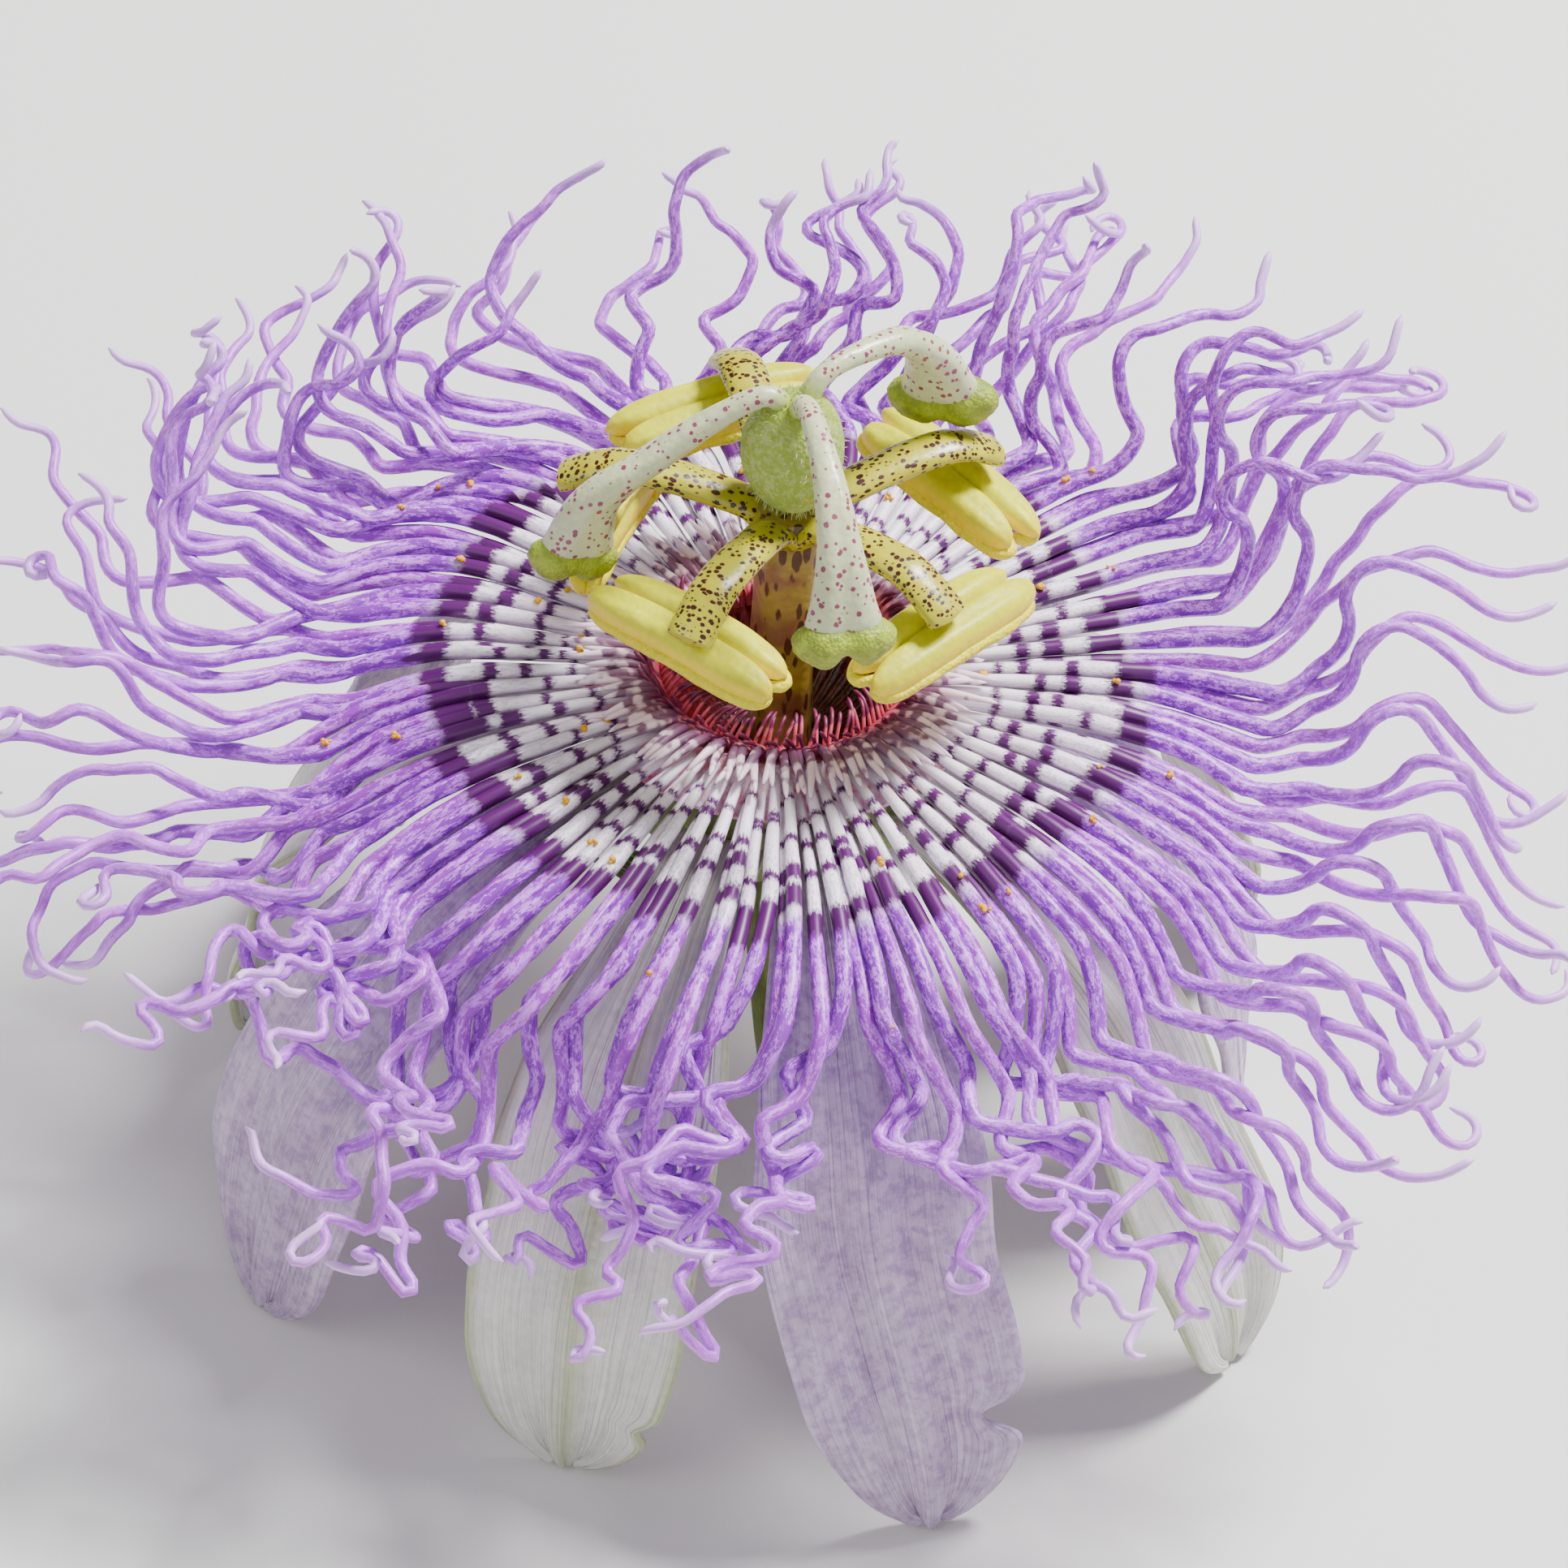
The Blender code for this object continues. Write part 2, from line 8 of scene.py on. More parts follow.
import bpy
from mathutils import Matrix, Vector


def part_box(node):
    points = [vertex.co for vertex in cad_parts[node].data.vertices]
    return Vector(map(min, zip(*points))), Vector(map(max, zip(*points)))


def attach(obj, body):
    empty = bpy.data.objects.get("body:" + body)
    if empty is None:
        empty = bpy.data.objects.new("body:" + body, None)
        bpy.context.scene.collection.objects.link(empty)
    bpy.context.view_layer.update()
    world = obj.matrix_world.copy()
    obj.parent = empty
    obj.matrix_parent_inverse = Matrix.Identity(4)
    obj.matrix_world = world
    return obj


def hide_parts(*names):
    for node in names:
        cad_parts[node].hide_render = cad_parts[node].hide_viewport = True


bl_info = {
    "name": "Passion Flower",
    "version": (1, 0, 0),
    "blender": (4, 5, 0),
    "location": "3D View > Sidebar > Passion Flower",
    "description": "Builds one open passion flower from its filaments, tepals, stamens and styles",
    "category": "Add Mesh",
}

import math
import random
from functools import partialmethod

import bmesh
import bpy
from bpy.props import FloatProperty, FloatVectorProperty, IntProperty, PointerProperty
from mathutils import Matrix, Quaternion, Vector, noise
from mathutils.geometry import interpolate_bezier

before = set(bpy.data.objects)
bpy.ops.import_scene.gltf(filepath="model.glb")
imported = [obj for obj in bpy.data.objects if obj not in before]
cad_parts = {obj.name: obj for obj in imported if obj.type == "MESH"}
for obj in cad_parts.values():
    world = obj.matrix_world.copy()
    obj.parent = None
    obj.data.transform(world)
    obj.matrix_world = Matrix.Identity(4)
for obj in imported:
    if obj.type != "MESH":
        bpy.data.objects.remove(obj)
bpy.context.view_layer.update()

MM = 0.001
BODY = "root"
UP = Vector((0.0, 0.0, 1.0))

# the flower's axis runs through the ovary, and the crown lies just above the rim of the cup
OVARY_LOW, OVARY_HIGH = (Vector(corner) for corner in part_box("ovary"))
AXIS = ((OVARY_LOW + OVARY_HIGH) / 2).to_2d()
CUP_LOW, CUP_HIGH = (Vector(corner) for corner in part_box("floral_cup"))
CROWN = CUP_HIGH.z + 1.9 * MM
MIDDLE = Vector((*AXIS, CROWN))
OVARY_BASE = (OVARY_LOW.z - CROWN) / MM
OVARY_TOP = (OVARY_HIGH.z - CROWN) / MM

# how the long filaments run: at each share of its length, how far a filament turns along the rim (towards
# growing azimuth) and how far it rises, in degrees (over 90 it doubles back), then how sharply its loose part
# kinks, how much of that each filament does on its own, and how long it is beside the others
ROUTE_SHARES = (0.00, 0.20, 0.30, 0.38, 0.47, 0.56, 0.66, 0.77, 0.88, 1.00)
ROUTES = {
    -180: ((0, 0, 10, 30, 40, -60, -100, 40, 60, -55), (2, 4, 6, 8, 20, 40, 30, 40, 30, 30), 80, 0.6, 0.9),
    -155: ((0, 0, 16, 46, 72, 76, 52, -90, -160, 60), (0, 2, 2, 4, 6, 8, 14, 50, 40, 40), 44, 0.4, 1.0),
    -130: ((0, 0, 12, 34, 48, 46, 30, -100, -160, 60), (0, 2, -2, -4, -2, 4, 14, 60, 40, 45), 44, 0.4, 1.06),
    -105: ((0, 0, 6, 16, 22, 18, 6, -90, -130, 60), (0, 0, -8, -12, -8, 0, 20, 66, 40, 45), 44, 0.45, 1.1),
    -85: ((0, 0, -4, 6, 6, -4, -6, 14, -40, 30), (0, -3, -22, -24, -8, 2, 24, 70, -50, 20), 40, 0.45, 1.04),
    -62: ((0, 0, -4, 2, -6, -14, 16, -54, 50, -50), (0, -4, -18, -26, -14, -6, 34, -20, -26, 14),
          76, 0.6, 1.14),
    -38: ((0, 0, -14, -22, -30, -25, 20, -60, 30, -10), (0, -3, -16, -34, -30, -20, -8, -4, -6, 6),
          124, 0.75, 1.22),
    0: ((0, 0, -8, -18, -4, 20, 10, 25, -25, 0), (0, -3, -12, -30, -42, -30, -10, -4, -8, 6), 132, 0.8, 1.24),
    24: ((0, 0, 3, 0, 0, 24, 66, 10, -50, 40), (0, -3, -12, -28, -36, -22, 6, -16, -20, -4), 92, 0.6, 1.2),
    50: ((0, 0, 4, 6, 2, -8, -14, 44, -50, 90), (0, -2, -12, -26, -30, -4, 60, -80, -20, 50), 30, 0.3, 1.16),
    80: ((0, 0, 0, -4, -6, -4, 10, 24, -50, 60), (0, 0, -10, -18, -10, 20, 60, -70, -40, 30), 28, 0.3, 1.1),
    108: ((0, 0, 0, 2, 6, 30, 30, -20, -20, 25), (0, 2, 0, 2, 8, 70, 150, 40, -22, 40), 34, 0.35, 1.04),
    140: ((0, 0, -4, -8, 0, 50, 90, -50, -45, 20), (0, 4, 4, 6, 12, 40, 90, 20, 5, 45), 60, 0.55, 0.95),
}
FILAMENT_STEPS = 96
# each long row: its first place, the greatest shift from an even place, the seeds of its shifts and its lines,
# the reach and height where it leaves the throat, its width beside the upper row's, and how much it bends
ROWS = {
    "upper": (0.0, 0.8, 0, 1, (6.1, -0.75), 1.0, 1.0),
    "lower": (0.5, 0.9, 500, 701, (6.7, -1.25), 0.94, 0.55),
}
# half widths along a filament, by share of its length; those of the long ones are shares of the full width
LONG_TAPER = ((0.0, 0.42), (0.1, 0.66), (0.22, 0.95), (0.4, 1.0), (0.55, 0.88), (0.78, 0.75), (0.93, 0.60),
              (1.0, 0.52))
INNER_TAPER = ((0.0, 0.17), (0.3, 0.22), (0.7, 0.24), (0.92, 0.13), (1.0, 0.04))
FRINGE_TAPER = ((0.0, 0.11), (0.6, 0.09), (0.85, 0.11), (0.97, 0.08), (1.0, 0.03))
# the dark rings on the long filaments: distance from the axis, half width and soft edge
BANDS = ((9.7, 0.05, 0.30), (11.7, 0.16, 0.26), (13.9, 0.30, 0.26), (16.3, 0.70, 0.40))
MEMBRANE_RIBS = 46
OVARY_HAIRS = 620

# each tepal: azimuth of its tip, how far out it hangs, its width, how cupped it is across, how strongly its
# edges wave, and how far its tip swings sideways and out
SEPAL_HEIGHT = -4.3
SEPALS = (
    (-17.0, 27.2, 10.8, 0.30, 0.5, 0.0, 0.0),
    (51.0, 27.0, 8.8, 0.95, 0.3, 1.8, 2.0),
    (120.0, 26.2, 9.4, 0.45, 0.4, 0.0, 0.0),
    (192.0, 26.6, 9.6, 0.45, 0.4, 0.0, 0.0),
    (264.0, 26.0, 9.2, 0.45, 0.4, 0.0, 0.0),
)
PETAL_HEIGHT = -3.0
PETALS = (
    (13.5, 28.6, 11.0, 0.30, 0.8, 2.6, 1.0),
    (86.0, 24.0, 10.2, 0.35, 0.8, 0.0, 0.0),
    (156.0, 27.2, 10.6, 0.35, 0.7, 0.0, 0.0),
    (228.0, 26.8, 10.8, 0.35, 0.7, 0.0, 0.0),
    (-53.0, 28.2, 11.6, 0.25, 0.8, -0.5, 0.5),
)
TEPAL_ROOT = (CUP_HIGH.x - CUP_LOW.x) / 2 / MM + 0.15
# nicks in a tepal's edge: where along it, how narrow and how deep
NICKS = {"petal_1": (0.85, 0.02, 2.9), "sepal_1": (0.90, 0.012, 1.0)}

# azimuth of each strap, and the reach and height of its tip
STRAPS = ((-26.0, 9.3, 8.8), (51.0, 9.3, 8.8), (121.0, 10.5, 9.3), (198.0, 10.3, 10.2), (260.0, 10.4, 9.3))
# azimuth, reach and height of each anther's middle, and its turn, tilt and roll
ANTHERS = (
    (-34.0, 7.6, 6.9, -2.0, 0.0, 0.0),
    (57.0, 8.7, 6.9, -9.0, 0.0, 0.0),
    (127.0, 9.2, 7.4, 8.0, 4.0, 0.0),
    (204.0, 9.3, 8.3, 0.0, -4.0, 0.0),
    (246.5, 8.8, 5.8, 22.0, 16.0, 84.0),
)
# each style: its azimuth, the size of its stigma, how far its end is twisted, and its (reach, height over the
# ovary, half thickness) knots
STYLES = {
    "front": (15.0, 1.05, 0.0, ((0.5, -0.6, 0.55), (1.5, 0.6, 0.5), (3.4, 0.9, 0.52), (6.6, 0.1, 0.62),
                                (9.2, -2.1, 0.80), (10.5, -5.2, 1.0))),
    "right": (132.0, 1.18, -33.0, ((0.5, -0.6, 0.55), (1.5, 0.5, 0.48), (3.4, 0.75, 0.5), (6.2, 0.3, 0.66),
                                   (8.1, -1.5, 0.90), (9.0, -4.0, 1.08))),
    "left": (-76.0, 1.0, 78.0, ((0.5, -0.6, 0.55), (1.5, 0.15, 0.5), (3.5, -0.7, 0.55), (6.5, -2.8, 0.72),
                                (9.2, -5.1, 0.92), (10.1, -7.9, 1.0))),
}

STALK_AZIMUTH = 100.0
STALK = ((0.0, -13.0, 1.2), (0.05, -16.5, 1.1), (0.35, -20.0, 1.08), (0.75, -23.6, 1.1), (1.2, -27.0, 1.15))
BRACT_FOOT = 1.3
BRACT_LENGTH = 7.4
BRACT_HEIGHT = -14.6


# ---- settings
def tint(code):
    """A linear colour from six hex digits of sRGB."""
    parts = (int(code[place:place + 2], 16) / 255 for place in (0, 2, 4))
    return tuple(part / 12.92 if part <= 0.04045 else ((part + 0.055) / 1.055) ** 2.4 for part in parts)


def color(name, description, code):
    return FloatVectorProperty(
        name=name, description=description, subtype="COLOR", size=3, min=0.0, max=1.0, default=tint(code)
    )


def length(name, description, value):
    return FloatProperty(name=name, description=description, unit="LENGTH", min=0.0, default=value * MM)


def count(name, description, value):
    return IntProperty(name=name, description=description, min=0, default=value)


def power(name, description, value):
    return FloatProperty(name=name, description=description, subtype="POWER", min=0.0, default=value)


def angle(name, description, value):
    return FloatProperty(name=name, description=description, subtype="ANGLE", default=math.radians(value))


class CoronaSettings(bpy.types.PropertyGroup):
    upper_count: count("Upper filaments", "Long filaments in the upper row", 68)
    lower_count: count("Lower filaments", "Long filaments in the lower row", 68)
    inner_count: count("Inner filaments", "Short filaments round the throat", 124)
    fringe_count: count("Fringe hairs", "Dark-tipped hairs that lean over the throat", 190)
    filament_length: length("Filament length", "Length of a long filament along its own line", 34.0)
    filament_width: length("Filament width", "Widest part of a long filament", 0.84)
    kink_spacing: length("Kink spacing", "Distance between the kinks of a filament's loose part", 3.1)
    # the band colour is also painted as shade on the undersides of the long and the inner filaments
    purple: color("Bands", "Deep purple of the rings round the throat", "54045E")
    violet: color("Violet", "Blotches on the outer filaments", "7E02AE")
    lavender: color("Lavender", "Ground colour of the outer filaments", "DA80FC")
    pale: color("Tip", "Pale tips of the filaments", "ECC4FC")
    white: color("White", "White between the bands", "FAF0FC")
    magenta: color("Magenta", "Blotches on the lower row", "9408B8")
    # maroon also tints the undersides of the inner filaments and of the fringe as painted shade
    maroon: color("Maroon", "Streaks on the inner filaments and the fringe's tips", "640A40")
    rose: color("Rose", "Feet of the inner filaments and of the fringe", "DC6078")
    # darker shades of this red are painted deep in the throat as shade
    throat: color("Throat", "Deep red of the membrane", "7A0C16")


class TepalSettings(bpy.types.PropertyGroup):
    thickness: length("Thickness", "Thickness of a sepal or petal", 0.55)
    rib_depth: length("Rib depth", "Depth of the folds along a tepal", 0.75)
    petal_white: color("Petal", "Ground colour of the petals", "DECAE4")
    # the lilac lies along vein streaks: partly vein colour, partly painted shade of the folds
    petal_lilac_and_fold_shade: color("Petal lilac", "Lilac in the petals' folds", "A486B6")
    sepal_white: color("Sepal", "Inside of the sepals", "E6E5DE")
    sepal_green: color("Sepal green", "Midstripe, edges and backs of the sepals", "8CA238")


class CentreSettings(bpy.types.PropertyGroup):
    ovary_green: color("Ovary", "Green of the ovary", "93AA3C")
    down: color("Down", "Short hairs on the ovary", "DDE2A8")
    strap_green: color("Straps", "Yellow-green of the stamens' straps", "C4BC24")
    spot: color("Spots", "Maroon spots on the straps and the column", "3A0204")
    column_brown: color("Column", "Tan of the column", "7E5430")
    anther_green: color("Anthers", "Outside of the pollen sacs", "DEDC02")
    rim_yellow: color("Anther rims", "Open lips and ends of the pollen sacs", "F8DE12")
    pollen_gold: color("Pollen", "Golden grains of loose pollen", "F4B600")
    style_pale: color("Styles", "Greenish white of the styles", "CCD6A6")
    style_pink: color("Specks", "Pink specks on the styles", "8A1850")
    stigma_green: color("Stigmas", "Yellow-green of the stigmas", "A4B62C")
    pollen_count: count("Loose pollen", "Clumps of pollen on the corona", 46)


class BaseSettings(bpy.types.PropertyGroup):
    cup_green: color("Cup", "Green of the cup", "8CA24A")
    stalk_green: color("Stalk", "Green of the cut stalk", "7E9238")
    bract_green: color("Bracts", "Green of the bracts", "5F8A2C")
    gland_amber: color("Glands", "Nectar glands on the bracts", "C9B23A")


class StageSettings(bpy.types.PropertyGroup):
    floor_color: color("Floor", "Colour of the plain floor", "E9E7E4")
    key_power: power("Key light", "Power of the soft light from above the right", 8.6)
    fill_power: power("Fill light", "Power of the lights that open the shadows", 1.3)
    camera_distance: length("Camera distance", "From the crown to the camera", 280.0)
    camera_elevation: angle("Camera elevation", "How far the camera looks down", 42.4)
    camera_roll: angle("Camera roll", "How far the camera leans", 3.5)


# ---- small arithmetic
def smooth(value):
    """Smooth step from 0 to 1."""
    value = min(max(value, 0.0), 1.0)
    return value * value * (3.0 - 2.0 * value)


def between(low, high, share):
    return low + (high - low) * share


def power_of(value, exponent):
    """A power that keeps the value's sign, which squares off a circle or an oval."""
    return math.copysign(abs(value) ** exponent, value)


def bell(value, width):
    return math.exp(-(value / width) ** 2)


def round_end(share, start, span, bend, least):
    """Half widths that curve in from start, as on a superellipse, but never below a least one."""
    return math.sqrt(max(1.0 - (max(share - start, 0.0) / span) ** bend, least))


def wave(*spot):
    """A smooth random value from -1 to 1."""
    return noise.noise(Vector(spot))


def cosine(degrees):
    return math.cos(math.radians(degrees))


def sine(degrees):
    return math.sin(math.radians(degrees))


def outward(azimuth):
    return Vector((sine(azimuth), -cosine(azimuth), 0.0))


def sideways(azimuth):
    return Vector((cosine(azimuth), sine(azimuth), 0.0))


def at(azimuth, reach, height, side=0.0):
    """The point at a reach and a height, moved sideways."""
    return MIDDLE + (outward(azimuth) * reach + UP * height + sideways(azimuth) * side) * MM


def around(place):
    """(azimuth, reach, height) of a point."""
    local = (place - MIDDLE) / MM
    return math.degrees(math.atan2(local.x, -local.y)), local.to_2d().length, local.z


def along_table(table, share):
    """Reads a value off a table of (share, value) rows, straight between its rows."""
    for (start, low), (end, high) in zip(table, table[1:]):
        if share <= end:
            return between(low, high, max(share - start, 0.0) / (end - start))
    return table[-1][1]


def through(points, count):
    """Evenly spaced stations on a smooth curve through a few points of any dimension."""
    stations = []
    last = len(points) - 1
    for step in range(count + 1):
        place = step / count * last
        index = min(int(place), last - 1)
        share = place - index
        before, start, end, after = (Vector(points[min(max(index + k, 0), last)]) for k in (-1, 0, 1, 2))
        stations.append(
            start
            + (end - before) * 0.5 * share
            + (2.0 * before - 5.0 * start + 4.0 * end - after) * 0.5 * share ** 2
            + (3.0 * start - before - 3.0 * end + after) * 0.5 * share ** 3
        )
    return stations


# ---- modelling helpers
def select_only(piece):
    bpy.ops.object.select_all(action="DESELECT")
    piece.select_set(True)
    bpy.context.view_layer.objects.active = piece


def primitive(kind, name, **settings):
    """Adds a primitive with nothing else selected."""
    bpy.ops.object.select_all(action="DESELECT")
    getattr(bpy.ops.mesh, f"primitive_{kind}_add")(**settings)
    piece = bpy.context.view_layer.objects.active
    piece.name = name
    return piece


def new_object(name, data):
    piece = bpy.data.objects.new(name, data)
    bpy.context.scene.collection.objects.link(piece)
    return piece


def from_bmesh(name, mesh, sharp=50.0):
    data = bpy.data.meshes.new(name)
    mesh.to_mesh(data)
    mesh.free()
    piece = new_object(name, data)
    tidy_mesh(piece, sharp)
    return piece


def apply_modifiers(piece):
    select_only(piece)
    for modifier in list(piece.modifiers):
        bpy.ops.object.modifier_apply(modifier=modifier.name)


def thicken(piece, thickness, **settings):
    """Gives a sheet its thickness, half to each side."""
    shell = piece.modifiers.new("thickness", "SOLIDIFY")
    shell.thickness = thickness
    shell.offset = 0.0
    for name, value in settings.items():
        setattr(shell, name, value)
    apply_modifiers(piece)


def round_off(piece):
    """Rounds a coarse mesh."""
    surface = piece.modifiers.new("round", "SUBSURF")
    surface.levels = surface.render_levels = 1
    apply_modifiers(piece)


def tidy_mesh(piece, sharp=50.0):
    """Merges doubled points, turns the faces out and smooths the mesh but for its real edges."""
    select_only(piece)
    bpy.ops.object.mode_set(mode="EDIT")
    bpy.ops.mesh.select_all(action="SELECT")
    bpy.ops.mesh.remove_doubles(threshold=0.002 * MM)
    bpy.ops.mesh.normals_make_consistent(inside=False)
    bpy.ops.object.mode_set(mode="OBJECT")
    bpy.ops.object.shade_smooth_by_angle(angle=math.radians(sharp))


def reshape(piece, rule):
    """Moves every point of a mesh to where rule(point) puts it, and leaves the object at the origin."""
    for corner in piece.data.vertices:
        corner.co = rule(corner.co.copy())
    piece.data.update()
    select_only(piece)
    bpy.ops.object.transform_apply(location=True, rotation=True, scale=True)


def finish(piece, slot, nodes, *materials):
    """Gives a piece its materials and its body, and hides the nodes it replaces. Its slot is not used."""
    piece.data.materials.clear()
    for material in materials:
        piece.data.materials.append(material)
    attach(piece, BODY)
    if nodes:
        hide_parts(*nodes)


def strands(name, lines, resolution=2):
    """Many round strands as one mesh: each line is (points, radii). U runs along a strand, V round it."""
    curve = bpy.data.curves.new(name, "CURVE")
    curve.dimensions = "3D"
    curve.bevel_depth = 1.0
    curve.bevel_resolution = resolution
    curve.use_fill_caps = True
    for points, radii in lines:
        spline = curve.splines.new("POLY")
        spline.points.add(len(points) - 1)
        for knot, place, radius in zip(spline.points, points, radii):
            knot.co = (*place, 1.0)
            knot.radius = radius
    select_only(new_object(name, curve))
    bpy.ops.object.convert(target="MESH")
    piece = bpy.context.view_layer.objects.active
    tidy_mesh(piece, 80.0)
    return piece


def short_strand(knots, taper, steps):
    """A short strand through (azimuth, reach, height) knots, with half widths from a table."""
    points = through([at(*knot) for knot in knots], steps)
    return points, [along_table(taper, k / steps) * MM for k in range(steps + 1)]


def lofted(name, rings):
    """A closed skin over rings of points, with a point at each end. U runs round the rings, V along them."""
    mesh = bmesh.new()
    layer = mesh.loops.layers.uv.new("UVMap")
    loops = [[mesh.verts.new(place) for place in ring] for ring in rings]
    count = len(rings[0])
    spans = len(rings) - 1

    def face(corners, spots):
        for loop, spot in zip(mesh.faces.new(corners).loops, spots):
            loop[layer].uv = spot

    for row, (first, second) in enumerate(zip(loops, loops[1:])):
        low, high = row / spans, (row + 1) / spans
        for k in range(count):
            n = (k + 1) % count
            left, right = k / count, (k + 1) / count
            face((first[k], first[n], second[n], second[k]),
                 ((left, low), (right, low), (right, high), (left, high)))
    for ring, v in ((loops[0], 0.0), (loops[-1], 1.0)):
        pole = mesh.verts.new(sum((corner.co for corner in ring), Vector()) / count)
        for k in range(count):
            left, right = k / count, (k + 1) / count
            face((ring[k], ring[(k + 1) % count], pole), ((left, v), (right, v), (left, v)))
    return from_bmesh(name, mesh)


def turned(name, profile, steps, fill="NGON"):
    """A circle extruded and scaled through a profile of (reach, height), round the axis."""
    reach, height = profile[0]
    piece = primitive("circle", name, vertices=steps, radius=reach * MM, fill_type=fill,
                      location=at(0.0, 0.0, height))
    bpy.ops.object.mode_set(mode="EDIT")
    bpy.ops.mesh.select_all(action="SELECT")
    for (reach, height), (wider, higher) in zip(profile, profile[1:]):
        bpy.ops.mesh.extrude_region_move(TRANSFORM_OT_translate={"value": UP * (higher - height) * MM})
        growth = wider / reach
        bpy.ops.transform.resize(value=(growth, growth, 1.0), center_override=at(0.0, 0.0, higher))
    bpy.ops.object.mode_set(mode="OBJECT")
    select_only(piece)
    bpy.ops.object.transform_apply(location=True, rotation=True, scale=True)
    tidy_mesh(piece)
    return piece


def limb(name, azimuth, route, widen, shape, sides=20, steps=36, twist=0.0):
    """A limb through (reach, height, half thickness) knots in one upright plane, widened sideways.

    shape(share, angle) scales its outline sideways and upwards, and its far end may be twisted.
    """
    stations = through(route, steps)
    rings = []
    for number, (reach, height, half) in enumerate(stations):
        ahead = (stations[min(number + 1, steps)] - stations[max(number - 1, 0)]).to_2d().normalized()
        spin = Matrix.Rotation(math.radians(twist) * smooth((number / steps - 0.45) / 0.45), 2)
        ring = []
        for k in range(sides):
            angle = 2.0 * math.pi * k / sides
            wide, thick = shape(number / steps, angle)
            side, rise = spin @ Vector((math.cos(angle) * half * widen * wide, math.sin(angle) * half * thick))
            ring.append(at(azimuth, reach - ahead.y * rise, height + ahead.x * rise, side))
        rings.append(ring)
    return lofted(name, rings)


# ---- shader helpers
class Value:
    """A shader node's output. Sums and products of such outputs are maths nodes in the same tree."""

    def __init__(self, tree, socket):
        self.tree = tree
        self.socket = socket

    def maths(self, operation, *others):
        return put(self.tree, "Math", (self, *others), operation=operation)[0]

    __add__ = partialmethod(maths, "ADD")
    __sub__ = partialmethod(maths, "SUBTRACT")
    __mul__ = partialmethod(maths, "MULTIPLY")
    __truediv__ = partialmethod(maths, "DIVIDE")
    __abs__ = partialmethod(maths, "ABSOLUTE")

    def __rsub__(self, other):
        return put(self.tree, "Math", (other, self), operation="SUBTRACT")[0]

    def clamped(self):
        self.socket.node.use_clamp = True
        return self

    def vector(self, operation, other=(0.0, 0.0, 0.0)):
        outputs = put(self.tree, "VectorMath", (self, other), operation=operation)
        return outputs["Value" if operation == "LENGTH" else "Vector"]

    def scaled(self, x, y, z):
        return self.vector("MULTIPLY", (x, y, z))

    def cells(self, count):
        return self.scaled(count, count, count)

    def parts(self, kind="XYZ"):
        """The three parts of a vector, or of a colour."""
        outputs = put(self.tree, "Separate" + kind, (self,))
        return [outputs[k] for k in range(3)]


def set_sockets(sockets, values):
    """Sets sockets to plain values, by name."""
    for label, value in values.items():
        sockets[label].default_value = value


def put(tree, kind, inputs=(), **settings):
    """Adds a shader node and returns its outputs, by number and by name.

    Its inputs, in order or by name, are plain values or other nodes' outputs.
    """
    item = tree.nodes.new("ShaderNode" + kind)
    for name, value in settings.items():
        setattr(item, name, value)
    for name, value in inputs.items() if isinstance(inputs, dict) else enumerate(inputs):
        if isinstance(value, Value):
            tree.links.new(value.socket, item.inputs[name])
        else:
            item.inputs[name].default_value = value
    outputs = [Value(tree, socket) for socket in item.outputs]
    return dict(enumerate(outputs)) | {output.socket.name: output for output in outputs}


def combine(x, y, z):
    return put(x.tree, "CombineXYZ", (x, y, z))[0]


def ramp(value, low, high, start=0.0, end=1.0):
    """Smoothly carries a value from low..high to start..end."""
    return put(value.tree, "MapRange", {"Value": value, "From Min": low, "From Max": high, "To Min": start,
                                        "To Max": end}, interpolation_type="SMOOTHSTEP")["Result"]


def blend(share, first, second):
    """Mixes two colours; each is a colour or another node's output."""
    first, second = (item if isinstance(item, Value) else (*item[:3], 1.0) for item in (first, second))
    return put(share.tree, "Mix", {0: share, 6: first, 7: second}, data_type="RGBA")[2]


def shade(color, share):
    """A darker colour."""
    return tuple(share * part for part in color)


def shaded(share, color, dark):
    """Mixes a colour with a darker shade of itself."""
    return blend(share, color, shade(color, dark))


def clouds(vector, scale, detail=3.0, roughness=0.55):
    return put(vector.tree, "TexNoise", {"Vector": vector, "Scale": scale, "Detail": detail,
                                         "Roughness": roughness})["Fac"]


def shader_group(*outputs, **inputs):
    """Makes a shader group of a function: built once, and placed in the tree of its first value.

    inputs are its sockets and their defaults, with None for a vector; outputs are its sockets' names.
    """
    def wrap(build):
        def place(*given):
            group = bpy.data.node_groups.get(build.__name__)
            if not group:
                group = bpy.data.node_groups.new(build.__name__, "ShaderNodeTree")
                for label, default in inputs.items():
                    kind = "NodeSocketVector" if default is None else "NodeSocketFloat"
                    socket = group.interface.new_socket(label, in_out="INPUT", socket_type=kind)
                    if default is not None:
                        socket.default_value = default
                for label in outputs:
                    kind = "NodeSocketVector" if label in ("Vector", "Normal") else "NodeSocketFloat"
                    group.interface.new_socket(label, in_out="OUTPUT", socket_type=kind)
                entry = group.nodes.new("NodeGroupInput")
                leave = group.nodes.new("NodeGroupOutput")
                results = build(*(Value(group, entry.outputs[label]) for label in inputs))
                for label, result in zip(outputs, results):
                    group.links.new(result.socket, leave.inputs[label])
            placed = put(given[0].tree, "Group", given, node_tree=group)
            return [placed[label] for label in outputs] if len(outputs) > 1 else placed[0]
        return place
    return wrap


